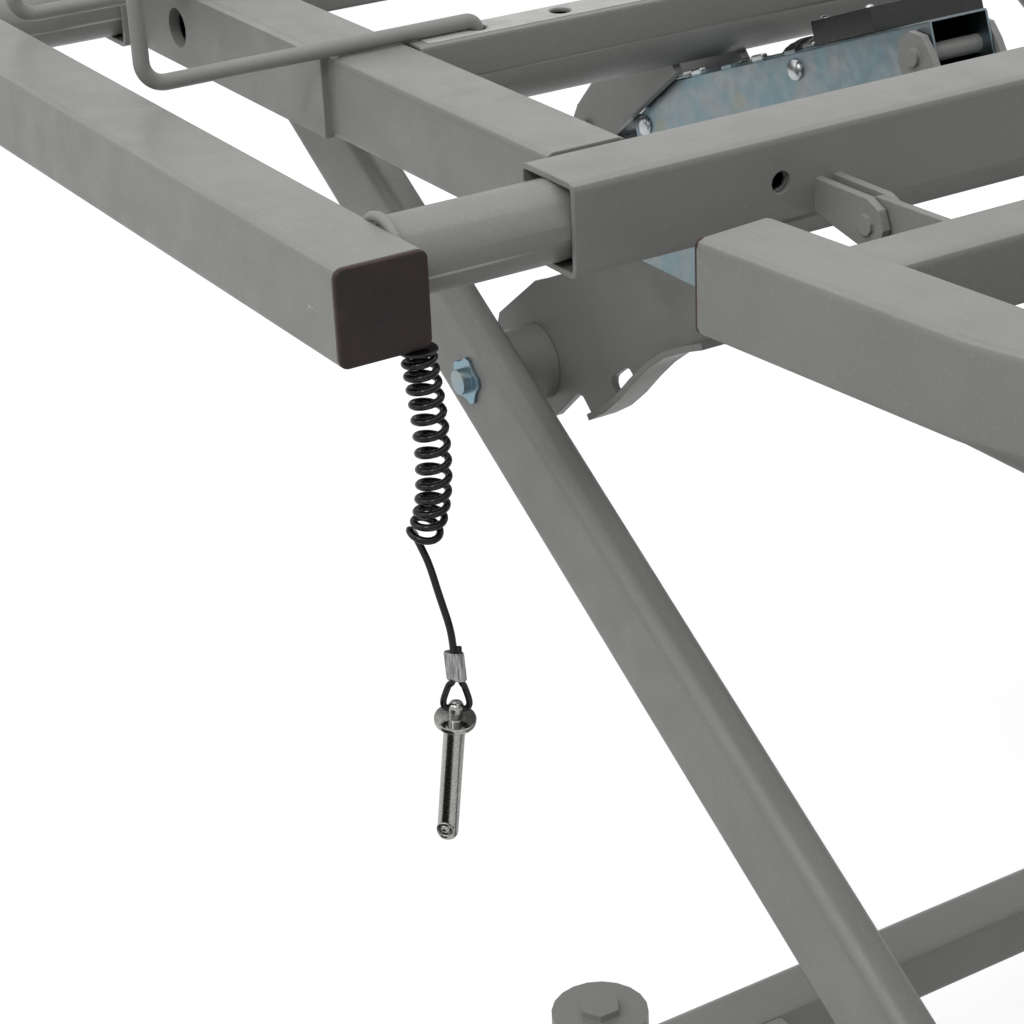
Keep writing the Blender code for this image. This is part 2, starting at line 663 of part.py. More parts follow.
def lift_lever(torque):
    """Two plates from the torque tube to the actuator's pin, and the pin between them."""
    pieces = []
    reach = LIFT_EYE - torque
    turn = atan2(reach.z, reach.x)
    nose = [(reach.length + 19 * mm * cos(t), 19 * mm * sin(t))
            for t in [radians(-90 + 36 * k) for k in range(6)]]
    outline = [(8 * mm, -29 * mm)] + nose + [(8 * mm, 29 * mm)]
    for side in (-1, 1):
        y = side * (LIFT_GAP + LEVER_PLATE) / 2
        plate = extrude("plate", [outline], LEVER_PLATE, "XZ", Vector((torque.x, y, torque.z)), turn)
        bore(plate, TORQUE_TUBE - 4 * mm, torque + Vector((0, y - 20 * mm, 0)),
             torque + Vector((0, y + 20 * mm, 0)), 24)
        pieces.append(plate)
    half = LIFT_GAP / 2 + LEVER_PLATE + 3 * mm
    pieces.append(cylinder("pin", ACTUATOR_PIN, LIFT_EYE - Vector((0, half, 0)),
                           LIFT_EYE + Vector((0, half, 0)), 16))
    return pieces


def foot_arms(parent):
    """The driven pair: two arms, and near their top the torque tube with the actuator's lever."""
    for side, word in SIDES:
        arm(f"foot_arm_{word}", side, FOOT_TOP_PIVOT, ARM_TOP, parent)
    torque = FOOT_TOP_PIVOT + TORQUE_AT * ARM_ALONG
    tube = arm_tube("tube", torque, TORQUE_TUBE)
    hang(weld("foot_torque_tube", [tube] + lift_lever(torque)), parent, "painted_steel")


def head_arms(parent):
    """The following pair: two arms and their brace."""
    for side, word in SIDES:
        arm(f"head_arm_{word}", side, HEAD_TOP_PIVOT, ARM_TOE, parent)
    brace = HEAD_TOP_PIVOT - BRACE_AT * ARM_ALONG
    hang(arm_tube("head_arm_brace", brace, BRACE_TUBE), parent, "painted_steel")


# Main frame

def bracket_edge():
    """The bracket's curved lower edge about its pivot, from the notch up to the main rail."""
    under = MAIN_TOP - MAIN_HEIGHT - FOOT_TOP_PIVOT.z
    points = [(58 * mm, -16 * mm), (68 * mm, -15 * mm), (100 * mm, 5 * mm), (135 * mm, 39 * mm),
              (160 * mm, 58 * mm), (186 * mm, 70 * mm), (215 * mm, under)]
    return [(p.x, p.y) for p in smooth_line([Vector((x, y, 0)) for x, y in points], 22 * mm)]


def bracket_outline():
    """Pivot bracket about its pivot: lapped on the main rail, round at the pivot, notched below."""
    under = MAIN_TOP - MAIN_HEIGHT - FOOT_TOP_PIVOT.z
    lap = under + 24 * mm
    eye = [(-50 * mm * cos(t), 8 * mm - 46 * mm * sin(t)) for t in [radians(18 * k) for k in range(6)]]
    return ([(60 * mm, under), (45 * mm, 73 * mm), (6 * mm, 55 * mm), (-2 * mm, 52 * mm), (-47 * mm, 17 * mm)]
            + eye + [(17 * mm, -32 * mm), (43 * mm, -8 * mm), (49 * mm, -8 * mm)] + bracket_edge()
            + [(215 * mm, lap), (60 * mm, lap)])


def bracket_lip():
    """Outline of the strip of sheet bent outward along the bracket's lower edge."""
    edge = [Vector(p) for p in bracket_edge()][1:-1]
    inner = []
    for k, point in enumerate(edge):
        along = edge[min(k + 1, len(edge) - 1)] - edge[max(k - 1, 0)]
        inner.append(point + LIP * Vector((-along.y, along.x)).normalized())
    return [tuple(p) for p in edge] + [tuple(p) for p in reversed(inner)]


def pivot_bracket(pivot, side):
    """A pressed bracket lapped on the main rail's outer face, with a slot and a bent lip."""
    y = side * (BRACKET_IN + BRACKET / 2)
    holes = [circle(PIVOT + 2 * PIN_PLAY, 12), slot((93 * mm, 17 * mm), 27 * mm, 12 * mm, radians(38))]
    plate = extrude("plate", [bracket_outline()] + holes, BRACKET, "XZ", pivot + Vector((0, y, 0)))
    middle = y + side * (LIP_WIDTH - BRACKET) / 2
    lip = extrude("lip", [bracket_lip()], LIP_WIDTH - 1 * mm, "XZ", pivot + Vector((0, middle, 0)))
    return [plate, lip]


def main_rails(parent):
    """The long rails with their pivot brackets and the pins of the foot section's links."""
    for side, word in SIDES:
        pieces = [square_tube("rail", MAIN_WIDTH, MAIN_HEIGHT, MAIN_WALL, RAIL_RADIUS, MAIN_FOOT,
                              MAIN_HEAD, (side * MAIN_Y, MAIN_MID), "X")]
        for pivot in (FOOT_TOP_PIVOT, HEAD_TOP_PIVOT):
            pieces += pivot_bracket(pivot, side)
        pieces.append(cylinder("pin", LINK_PIN, LINK_M + Vector((0, side * (MAIN_OUT - 1 * mm), 0)),
                               LINK_M + Vector((0, side * (LINK_Y + LINK_THICK), 0)), 12))
        hang(weld(f"main_rail_{word}", pieces), parent, "painted_steel")


def pivot_shaft(name, pivot, parent):
    """A shaft across the frame: a tube between the brackets with a pin out through each arm.

    Each pin carries a toothed spring ring outside its arm.
    """
    half = BRACKET_IN - SEAM
    pieces = [cylinder("shaft", PIVOT_SHAFT, pivot - Vector((0, half, 0)), pivot + Vector((0, half, 0)), 16)]
    for side, _ in SIDES:
        pieces.append(cylinder("pin", PIVOT, pivot + Vector((0, side * (half - 5 * mm), 0)),
                               pivot + Vector((0, side * (ARM_OUT + 8 * mm), 0)), 12))
        teeth = []
        for k in range(20):
            radius = RING / 2 if k % 4 in (0, 1) else RING / 2 - 2.5 * mm
            teeth.append((radius * cos(2 * pi * k / 20), radius * sin(2 * pi * k / 20)))
        pieces.append(extrude("ring", [teeth, circle(PIVOT - 3 * mm, 12)], 2 * mm, "XZ",
                              pivot + Vector((0, side * (ARM_OUT + SEAM + 1 * mm), 0))))
    hang(weld(name, pieces), parent, "zinc")


def round_end(center, radius, first, last, steps=4):
    """Points of an arc about center from one angle to another, in degrees."""
    return [(center[0] + radius * cos(radians(first + (last - first) * k / steps)),
             center[1] + radius * sin(radians(first + (last - first) * k / steps)))
            for k in range(steps + 1)]


def main_cross_tubes(parent):
    """Three cross tubes; the first two carry the rear pivots of the two actuators."""
    half = MAIN_IN - SEAM
    plates = {}
    top = MAIN_MID + MAIN_CROSS / 2 - 1 * mm
    eye = (LIFT_ANCHOR.x, LIFT_ANCHOR.z)
    plates["foot"] = ([(MAIN_CROSS_X[0] + 19 * mm, top)] + round_end(eye, 16 * mm, 20, 200)
                      + [(MAIN_CROSS_X[0] - 18 * mm, top)], LIFT_ANCHOR, CHANNEL_WIDTH)
    near = MAIN_CROSS_X[1] + MAIN_CROSS / 2 - 1 * mm
    eye = (BACK_ANCHOR.x, BACK_ANCHOR.z)
    plates["middle"] = ([(near, MAIN_MID - 18 * mm)] + round_end(eye, 15 * mm, -130, 60)
                        + [(near, MAIN_MID + 17 * mm)], BACK_ANCHOR, BACK_CLEVIS)
    for x, word in zip(MAIN_CROSS_X, ("foot", "middle", "head")):
        pieces = [square_tube("cross", MAIN_CROSS, MAIN_CROSS, MAIN_WALL, RAIL_RADIUS, -half, half,
                              (x, MAIN_MID), "Y")]
        if word in plates:
            outline, pivot, spread = plates[word]
            for side, _ in SIDES:
                y = side * (spread / 2 + SLIDE_PLAY + ANCHOR_PLATE / 2)
                pieces.append(extrude("plate", [outline], ANCHOR_PLATE, "XZ", Vector((0, y, 0))))
            reach = spread / 2 + SLIDE_PLAY + ANCHOR_PLATE + 3 * mm
            pieces.append(cylinder("pin", ACTUATOR_PIN, pivot - Vector((0, reach, 0)),
                                   pivot + Vector((0, reach, 0)), 12))
        hang(weld(f"main_cross_{word}", pieces), parent, "painted_steel")


def clevis(axis, face_x, tube_z, side, y, radius):
    """Two hinge plates on a cross tube's face with the hinge pin between them."""
    away = 1 if axis[0] > face_x else -1
    root = face_x - away * 1.2 * mm
    arc = round_end((0, 0), radius, -90, 90)
    if away < 0:
        arc = [(-x, z) for x, z in reversed(arc)]
    low, high = max(-radius, tube_z - RAIL / 2 + 4 * mm - axis[1]), min(radius, tube_z + RAIL / 2 - 4 * mm - axis[1])
    outline = [(root - axis[0], low)] + arc + [(root - axis[0], high)]
    if away < 0:
        outline = [(root - axis[0], high)] + arc + [(root - axis[0], low)]
    pieces = []
    for step in (-1, 1):
        place = Vector((axis[0], side * (y + step * (LUG + SLIDE_PLAY)), axis[1]))
        pieces.append(extrude("lug", [outline], LUG, "XZ", place))
    reach = 1.5 * LUG + SLIDE_PLAY + 2 * mm
    pieces.append(cylinder("pin", HINGE_PIN, (axis[0], side * y - reach, axis[1]),
                           (axis[0], side * y + reach, axis[1]), 10))
    return pieces


def tongue(axis, face_x, low, high, side, y, radius):
    """One hinge plate with a hole, on a tube's face between two heights."""
    away = 1 if axis[0] > face_x else -1
    root = face_x - away * 1.2 * mm - axis[0]
    arc = round_end((0, 0), radius, -90, 90)
    if away < 0:
        arc = [(-x, z) for x, z in reversed(arc)]
        outline = [(root, high - axis[1])] + arc + [(root, low - axis[1])]
    else:
        outline = [(root, low - axis[1])] + arc + [(root, high - axis[1])]
    hole = circle(HINGE_PIN + 2 * PIN_PLAY, 10)
    return [extrude("tongue", [outline, hole], LUG, "XZ", Vector((axis[0], side * y, axis[1])))]


def seat_section(parent):
    """The fixed seat section: a welded rectangle of deck tube on four posts on the main rails."""
    first, last = SEAT_START + RAIL / 2, SEAT_END - RAIL / 2
    pieces = [square_tube("cross", RAIL, RAIL, RAIL_WALL, RAIL_RADIUS, -SIDE_RAIL_OUT, SIDE_RAIL_OUT,
                          (x, DECK_MID), "Y") for x in (first, last)]
    for side, _ in SIDES:
        rail = square_tube("rail", RAIL - 0.6 * mm, RAIL - 0.6 * mm, RAIL_WALL, RAIL_RADIUS,
                           first + RAIL / 2 - 1 * mm, last - RAIL / 2 + 1 * mm,
                           (side * SIDE_RAIL_Y, DECK_MID), "X")
        drain = Vector(((first + last) / 2, side * SIDE_RAIL_Y, DECK_TOP - RAIL))
        bore(rail, DRAIN, drain - Vector((0, 0, 10 * mm)), drain + Vector((0, 0, 10 * mm)), 12)
        pieces.append(finished("rail", rail))
        for x in (first, last):
            pieces.append(box("post", (x - 18 * mm, side * MAIN_Y - 17 * mm, MAIN_TOP + SEAM),
                              (x + 18 * mm, side * MAIN_Y + 17 * mm, DECK_TOP - RAIL + 1.2 * mm)))
        pieces += clevis((HIP_X, KNEE_Z), SEAT_START, DECK_MID, side, LUG_Y, 9 * mm)
        pieces += clevis((BACK_HINGE_X, BACK_HINGE_Z), SEAT_END, DECK_MID, side, SIDE_RAIL_Y, 9 * mm)
    hang(weld("seat_frame", pieces), parent, "painted_steel")


# Deck sections that move

def section_rails(name, start, end, parent, plate=None):
    """The two side rails of a section between its slide cross tubes."""
    for side, word in SIDES:
        pieces = [square_tube("rail", RAIL, RAIL, RAIL_WALL, RAIL_RADIUS, start, end,
                              (side * SIDE_RAIL_Y, DECK_MID), "X")]
        if plate:
            low = Vector((start + 0.5 * mm, side * (SIDE_RAIL_OUT - 1 * mm), DECK_TOP - RAIL + 0.5 * mm))
            high = Vector((plate, side * (SIDE_RAIL_OUT + SIDE_PLATE), DECK_TOP - 0.5 * mm))
            pieces.append(box("plate", [min(a, b) for a, b in zip(low, high)],
                              [max(a, b) for a, b in zip(low, high)]))
        made = weld(f"{name}_rail_{word}", pieces)
        if plate:
            place = Vector((SIDE_PLATE_HOLE_AT - DECK_HALF, side * SIDE_RAIL_OUT, DECK_MID))
            bore(made, SIDE_PLATE_HOLE, place - Vector((0, 20 * mm, 0)), place + Vector((0, 20 * mm, 0)), 24)
        hang(made, parent, "painted_steel")


def slide_cross(name, x, extra, parent):
    """A cross tube open at both ends, where a wing's slide tube enters, with its lock pin holes."""
    tube = square_tube("cross", RAIL, RAIL, RAIL_WALL, RAIL_RADIUS, -SLIDE_END, SLIDE_END, (x, DECK_MID), "Y")
    made = weld(name, [tube] + extra)
    for side, _ in SIDES:
        place = Vector((x, side * LOCK_HOLE_Y, DECK_MID))
        bore(made, LOCK_HOLE, place - Vector((40 * mm, 0, 0)), place + Vector((40 * mm, 0, 0)), 12)
    return hang(made, parent, "painted_steel")


def wing(name, side, start, end, slides, parent):
    """A wing: its long rail, open at the ends, with two round slide tubes welded on."""
    pieces = [square_tube("rail", RAIL, RAIL, RAIL_WALL, RAIL_RADIUS, start, end,
                          (side * WING_Y, WING_MID), "X")]
    inner, outer = side * SLIDE_TUBE_IN, side * (WING_OUT - RAIL + 1.2 * mm)
    for x in slides:
        pieces.append(round_tube("slide", SLIDE_TUBE, SLIDE_TUBE - 2 * SLIDE_TUBE_WALL,
                                 min(inner, outer), max(inner, outer), (x, DECK_MID), 18))
    if name == "foot_wing_left":
        stud = Vector((COIL_TOP.x, COIL_TOP.y, WING_MID - RAIL / 2 + 1.2 * mm))
        pieces.append(cylinder("stud", STUD, Vector((stud.x, stud.y, COIL_TOP.z + SEAM)), stud, 12))
    made = weld(name, pieces)
    for x in slides:
        for step in (0, WING_STEP, WING_TRAVEL):
            place = Vector((x, side * (LOCK_HOLE_Y + step), DECK_MID))
            bore(made, LOCK_HOLE, place - Vector((24 * mm, 0, 0)), place + Vector((24 * mm, 0, 0)), 8)
    return hang(made, parent, "painted_steel")


def retainer_bar(name, x, with_lugs, parent):
    """A flat cross tube with the retainer's holes; the first carries the support links' lugs."""
    half = SIDE_RAIL_IN - SEAM
    tube = square_tube("bar", BAR_HEIGHT, BAR_WIDTH, 2 * mm, 3 * mm, -half, half,
                       (x, DECK_TOP - BAR_HEIGHT / 2), "Y")
    pieces = [tube]
    if with_lugs:
        y = BAR_HOLE_Y + BAR_HOLE / 2 + 1.5 * mm + LUG / 2
        root = DECK_TOP - BAR_HEIGHT + 1.2 * mm
        outline = ([(x - 12 * mm, root)] + round_end((LINK_F.x, LINK_F.z), 12.4 * mm, 180, 360)
                   + [(x + 12 * mm, root)])
        for side, _ in SIDES:
            pieces.append(extrude("lug", [outline], LUG, "XZ", Vector((0, side * y, 0))))
            pieces.append(cylinder("pin", LINK_PIN, LINK_F + Vector((0, side * (LINK_Y - LINK_THICK / 2 - 1 * mm), 0)),
                                   LINK_F + Vector((0, side * (y + LUG / 2 + 2 * mm), 0)), 12))
    made = weld(name, pieces)
    for side, _ in SIDES:
        for step in range(3):
            place = Vector((x, side * (BAR_HOLE_Y - step * BAR_HOLE_STEP), DECK_TOP))
            bore(made, BAR_HOLE, place - Vector((0, 0, BAR_HEIGHT + 5 * mm)), place + Vector((0, 0, 5 * mm)), 12)
    return hang(made, parent, "painted_steel")


def foot_section(parent):
    """Foot section: side rails with the outer plate, two slide cross tubes and the retainer bars."""
    near = FOOT_SLIDE_X - RAIL / 2 - SEAM
    far = -END_SLIDE_X + RAIL / 2 + SEAM
    section_rails("foot", far, near, parent, SIDE_PLATE_END)
    lugs = []
    for side, _ in SIDES:
        lugs += clevis((KNEE_X, KNEE_Z), FOOT_SLIDE_X + RAIL / 2, DECK_MID, side, LUG_Y, 14 * mm)
    slide_cross("foot_cross_knee", FOOT_SLIDE_X, lugs, parent)
    slide_cross("foot_cross_end", -END_SLIDE_X, [], parent)
    retainer_bar("retainer_bar_knee", BAR_XS[0], True, parent)
    retainer_bar("retainer_bar_foot", BAR_XS[1], False, parent)


def square_sweep(name, path, size, wall, radius):
    """A hollow square tube along a level line of points."""
    solids = []
    for part_name, edge, corner, points in (
            ("outer", size, radius, path),
            ("inner", size - 2 * wall, max(radius - wall, 0.5 * mm), longer(path, 5 * mm))):
        section = bpy.data.curves.new("section", "CURVE")
        section.dimensions = "2D"
        spline = section.splines.new("POLY")
        outline = rounded(edge, edge, corner)
        spline.points.add(len(outline) - 1)
        for point, (x, y) in zip(spline.points, outline):
            point.co = (x, y, 0, 1)
        spline.use_cyclic_u = True
        guide = bpy.data.objects.new("section", section)
        cutters.objects.link(guide)
        data = bpy.data.curves.new(part_name, "CURVE")
        data.dimensions = "3D"
        data.twist_mode = "Z_UP"
        data.use_fill_caps = True
        data.bevel_mode = "OBJECT"
        data.bevel_object = guide
        line = data.splines.new("POLY")
        line.points.add(len(points) - 1)
        for point, place in zip(line.points, points):
            point.co = (*place, 1)
        made = bpy.data.objects.new(part_name, data)
        parts.objects.link(made)
        solids.append(curve_to_mesh(made))
        bpy.data.objects.remove(guide, do_unlink=True)
    outer, inner = solids
    parts.objects.unlink(inner)
    cutters.objects.link(inner)
    inner.hide_render = True
    inner.display_type = "WIRE"
    cut(outer, inner)
    return finished(name, outer)


def longer(path, extra):
    """The same line with its two ends moved outward."""
    first, last = Vector(path[0]), Vector(path[-1])
    return ([first + (first - Vector(path[1])).normalized() * extra] + list(path[1:-1])
            + [last + (last - Vector(path[-2])).normalized() * extra])


def thigh_line():
    """Centre line of the right thigh rail: two straights that turn inward, then one along the bed."""
    x, y = THIGH_START, THIGH_START_Y
    corners = [(x, y, THIGH_MID)]
    for run, turn in zip(THIGH_RUN, THIGH_TURN):
        x += run * cos(turn)
        y -= run * sin(turn)
        corners.append((x, y, THIGH_MID))
    corners.append((THIGH_END, y, THIGH_MID))
    return corners


def thigh_section(parent):
    """Thigh section: bent rails capped at the knee, and two cross tubes with the hinge plates."""
    for side, word in SIDES:
        rail = square_sweep(f"thigh_rail_{word}", filleted(thigh_line(), (THIGH_BEND, THIGH_BEND)), RAIL, RAIL_WALL,
                            RAIL_RADIUS)
        if side < 0:
            rail.data.transform(Matrix.Scale(-1, 4, (0, 1, 0)))
            rail.data.flip_normals()
        hang(rail, parent, "painted_steel")
    corners = thigh_line()
    slope = (corners[0][1] - corners[1][1]) / (corners[1][0] - corners[0][0])
    knee_inner = (corners[0][1] - slope * (THIGH_CROSS_X[0] + THIGH_CROSS / 2 - THIGH_START)
                  - RAIL / 2 / cos(THIGH_TURN[0]))
    for x, half, axis_x, word in ((THIGH_CROSS_X[0], knee_inner - SEAM, KNEE_X, "knee"),
                                  (THIGH_CROSS_X[1], corners[-1][1] - RAIL / 2 - SEAM, HIP_X, "hip")):
        pieces = [square_tube("cross", THIGH_CROSS, THIGH_CROSS, RAIL_WALL, RAIL_RADIUS, -half, half,
                              (x, THIGH_MID), "Y")]
        away = 1 if axis_x > x else -1
        for side, _ in SIDES:
            pieces += tongue((axis_x, KNEE_Z), x + away * THIGH_CROSS / 2, THIGH_MID - 15 * mm,
                             THIGH_MID + 15 * mm, side, LUG_Y, 11 * mm if word == "hip" else 14 * mm)
        hang(weld(f"thigh_cross_{word}", pieces), parent, "painted_steel")


def support_links(parent, side, word):
    """A flat link that keeps the foot section level as the knee rises."""
    half = (LINK_M - LINK_F).x / 2
    arc = round_end((half, 0), LINK_WIDTH / 2, -90, 90)
    outline = arc + [(-x, -z) for x, z in arc]
    holes = [circle(LINK_PIN + 2 * PIN_PLAY, 16, (place, 0)) for place in (-half, half)]
    center = (LINK_M + LINK_F) / 2 + Vector((0, side * LINK_Y, 0))
    hang(extrude(f"support_link_{word}", [outline] + holes, LINK_THICK, "XZ", center), parent, "zinc")


def retainer(word, side, parent):
    """The mattress retainer: one painted rod bent into a bail that stands in the two bars."""
    low, lie, high = DECK_TOP - ROD_FOOT, DECK_TOP + ROD_LIFT, DECK_TOP + ROD_LIFT + ROD_RISE
    corners = []
    for x, order in ((BAR_XS[0], 1), (BAR_XS[1], -1)):
        leg = [(x, side * BAR_HOLE_Y, low), (x, side * BAR_HOLE_Y, lie), (x, side * ROD_OUT_Y, lie),
               (x, side * ROD_OUT_Y, high)]
        corners += leg[::order]
    path = filleted(corners, (ROD_HOOK, ROD_BEND, ROD_BEND, ROD_BEND, ROD_BEND, ROD_HOOK))
    hang(sweep(f"mattress_retainer_{word}", path, ROD), parent, "painted_steel")


def back_section(parent):
    """Back section: side rails, the hinge cross tube with the actuator's lever, and the head tube."""
    hinge_cross = BACK_START + RAIL / 2
    section_rails("back", hinge_cross + RAIL / 2 + SEAM, END_SLIDE_X - RAIL / 2 - SEAM, parent)
    extra = []
    for side, _ in SIDES:
        extra += tongue((BACK_HINGE_X, BACK_HINGE_Z), BACK_START, DECK_TOP - RAIL + 6 * mm,
                        DECK_TOP - 4 * mm, side, SIDE_RAIL_Y, 9 * mm)
    along = Vector((cos(BACK_LEVER_ANGLE), 0, sin(BACK_LEVER_ANGLE)))
    across = Vector((along.z, 0, -along.x))
    half = BACK_SLOT / 2 + 14 * mm
    shoulder, far = (BACK_SLOT_AT - 40 * mm) * along, (BACK_SLOT_AT + BACK_SLOT_LENGTH / 2 + 6 * mm) * along
    under = DECK_TOP - RAIL + 1.2 * mm - BACK_HINGE_Z
    left = BACK_START - BACK_HINGE_X + 2 * mm
    corners = [Vector((left, 0, under)), shoulder + half * across, far - 8 * mm * along + half * across,
               far + (half - 8 * mm) * across, far - (half - 8 * mm) * across,
               far - 8 * mm * along - half * across, Vector((left + RAIL - 8 * mm, 0, under))]
    outline = [(c.x, c.z) for c in corners]
    middle = BACK_SLOT_AT * along
    hole = slot((middle.x, middle.z), BACK_SLOT_LENGTH, BACK_SLOT, BACK_LEVER_ANGLE)
    for side, _ in SIDES:
        y = side * (BACK_CLEVIS + LEVER_PLATE) / 2
        extra.append(extrude("lever", [outline, hole], LEVER_PLATE, "XZ",
                             Vector((BACK_HINGE_X, y, BACK_HINGE_Z))))
    slide_cross("back_cross_hip", hinge_cross, extra, parent)
    slide_cross("back_cross_head", END_SLIDE_X, [], parent)


# Actuators

def lift_actuator(main):
    """The lift drive: a folded zinc channel with bent tabs, its motor, and the rod with a wide eye."""
    body = empty("lift_actuator_pivot", LIFT_ANCHOR, main)
    along = LIFT_ANCHOR - LIFT_EYE
    frame = Matrix.Translation(LIFT_EYE) @ Matrix.Rotation(-atan2(along.z, along.x), 4, "Y")
    end = LIFT_LENGTH + 14 * mm
    motor_at = LIFT_LENGTH - MOTOR_BACK
    loops = [rounded(CHANNEL_WIDTH, CHANNEL, 2 * mm, 2),
             rounded(CHANNEL_WIDTH - 2 * CHANNEL_WALL, CHANNEL - 2 * CHANNEL_WALL, 0.6 * mm, 1)]
    pieces = [extrude("channel", loops, end - CHANNEL_START, "X", Vector(((end + CHANNEL_START) / 2, 0, 0)))]
    for k in range(int((motor_at - CHANNEL_START) / TAB_PITCH)):
        x = CHANNEL_START + 12 * mm + k * TAB_PITCH
        for side, _ in SIDES:
            edge = side * (CHANNEL_WIDTH / 2 + 1 * mm)
            inner = side * (CHANNEL_WIDTH / 2 - 6 * mm)
            pieces.append(box("tab", (x, min(edge, inner), CHANNEL / 2 - 1.2 * mm),
                              (x + 12 * mm, max(edge, inner), CHANNEL / 2 + 1.2 * mm)))
    made = weld("lift_actuator_channel", pieces)
    made.matrix_world = frame
    bore(made, ACTUATOR_PIN + 2 * PIN_PLAY, LIFT_ANCHOR - Vector((0, 40 * mm, 0)),
         LIFT_ANCHOR + Vector((0, 40 * mm, 0)))
    hang(made, body, "zinc")

    side_y = CHANNEL_WIDTH / 2 + 1 * mm + SEAM
    over = CHANNEL / 2 + SEAM
    motor = [box("gearbox_top", (motor_at, -18 * mm, over),
                 (motor_at + MOTOR_BLOCK, side_y + MOTOR_SIDE, over + 16 * mm)),
             box("gearbox_side", (motor_at + 1 * mm, CHANNEL_WIDTH / 2 + SEAM, -CHANNEL / 2),
                 (motor_at + MOTOR_BLOCK - 1 * mm, side_y + MOTOR_SIDE - 1 * mm, over + 15 * mm)),
             cylinder("motor", MOTOR, (motor_at + 3 * mm, side_y + MOTOR / 2 + 1 * mm, 4 * mm),
                      (motor_at - MOTOR_LENGTH, side_y + MOTOR / 2 + 1 * mm, 4 * mm), 24)]
    motor = weld("lift_actuator_motor", motor)
    motor.matrix_world = frame
    hang(motor, body, "black_plastic")

    slide = empty("lift_rod_slide", LIFT_EYE, body)
    inner = CHANNEL - 2 * CHANNEL_WALL - 2 * SEAM
    wide = CHANNEL_WIDTH - 2 * CHANNEL_WALL - 2 * SEAM
    half = LIFT_GAP / 2 - SLIDE_PLAY
    rod = [box("eye", (-20 * mm, -half, -18 * mm), (22 * mm, half, 18 * mm)),
           cylinder("rod", ACTUATOR_ROD, (20 * mm, 0, 0), (ROD_NUT_AT + 2 * mm, 0, 0), 16),
           box("nut", (ROD_NUT_AT, -wide / 2, -inner / 2), (ROD_NUT_AT + 26 * mm, wide / 2, inner / 2))]
    rod = weld("lift_actuator_rod", rod)
    rod.matrix_world = frame
    bore(rod, EYE_BORE, LIFT_EYE - Vector((0, 30 * mm, 0)), LIFT_EYE + Vector((0, 30 * mm, 0)), 20)
    hang(rod, slide, "bright_steel")


def back_actuator(main):
    """The back drive: a black tube with a motor below it, and a rod whose pin runs in the lever's slots."""
    body = empty("back_actuator_pivot", BACK_ANCHOR, main)
    x0, z = BACK_ANCHOR.x, BACK_ANCHOR.z
    start, end = x0 - 14 * mm, BACK_EYE.x - 66 * mm
    tube = extrude("tube", [circle(BACK_TUBE, 20), circle(BACK_ROD + 2 * SEAM, 16)], end - start - 40 * mm,
                   "X", Vector(((start + 40 * mm + end) / 2, 0, z)))
    root = extrude("root", [rounded(BACK_CLEVIS, 26 * mm, 5 * mm)], 52 * mm, "X", Vector((start + 26 * mm, 0, z)))
    block = box("gearbox", (start + 44 * mm, -22 * mm, z - 52 * mm), (start + 98 * mm, 22 * mm, z - 12 * mm))
    made = weld("back_actuator_body", [root, tube, block])
    bore(made, ACTUATOR_PIN + 2 * PIN_PLAY, BACK_ANCHOR - Vector((0, 40 * mm, 0)), BACK_ANCHOR + Vector((0, 40 * mm, 0)))
    bore(made, BACK_ROD + 2 * SEAM, (start + 60 * mm, 0, z), (end + 5 * mm, 0, z))
    hang(made, body, "black_plastic")

    slide = empty("back_rod_slide", BACK_EYE, body)
    head = extrude("head", [circle(BACK_ROD + 2 * mm, 16)], BACK_CLEVIS - 2 * SLIDE_PLAY, "Y", BACK_EYE)
    rod = cylinder("rod", BACK_ROD, (start + 62 * mm, 0, z), (BACK_EYE.x, 0, z), 16)
    reach = BACK_CLEVIS / 2 + LEVER_PLATE + 3 * mm
    pin = cylinder("pin", ACTUATOR_PIN, BACK_EYE - Vector((0, reach, 0)), BACK_EYE + Vector((0, reach, 0)), 16)
    hang(weld("back_actuator_rod", [head, rod, pin]), slide, "bright_steel")


# Lock pins, cap and lanyard

def pin_profile():
    """Lock pin from its tip, along its axis: round tip, body, flange and neck."""
    body, flange, neck = PIN_BODY / 2, PIN_FLANGE / 2, PIN_NECK / 2
    high = PIN_LENGTH
    return [(0, 0), (body - 1.5 * mm, 0), (body, 1.5 * mm), (body, high), (flange - 0.6 * mm, high),
            (flange, high + 0.6 * mm), (flange, high + 2.6 * mm), (flange - 0.6 * mm, high + 3.2 * mm),
            (neck, high + 3.2 * mm), (neck, high + 12 * mm), (neck - 1 * mm, high + 13 * mm),
            (0, high + 13 * mm)]


def lock_pin(name, tip, parent):
    """A turned lock pin with its flange, and an eyelet hole across its neck."""
    mesh = bpy.data.meshes.new(name)
    work = bmesh.new()
    verts = [work.verts.new((radius, 0, height)) for radius, height in pin_profile()]
    edges = [work.edges.new(pair) for pair in zip(verts, verts[1:])]
    bmesh.ops.spin(work, geom=verts + edges, axis=(0, 0, 1), cent=(0, 0, 0), steps=16, angle=2 * pi,
                   use_merge=True)
    bmesh.ops.remove_doubles(work, verts=work.verts, dist=0.00001)
    bmesh.ops.recalc_face_normals(work, faces=work.faces)
    work.to_mesh(mesh)
    work.free()
    made = bpy.data.objects.new(name, mesh)
    parts.objects.link(made)
    smooth(made)
    across = PIN_ALONG.cross(Vector((0, 1, 0)))
    frame = Matrix((across.cross(PIN_ALONG), across, PIN_ALONG)).transposed().to_4x4()
    made.matrix_world = Matrix.Translation(tip) @ frame
    eye = tip + (PIN_LENGTH + PIN_EYE_AT) * PIN_ALONG
    bore(made, PIN_EYE, eye - across * 10 * mm, eye + across * 10 * mm, 12)
    return hang(made, parent, "bright_steel")


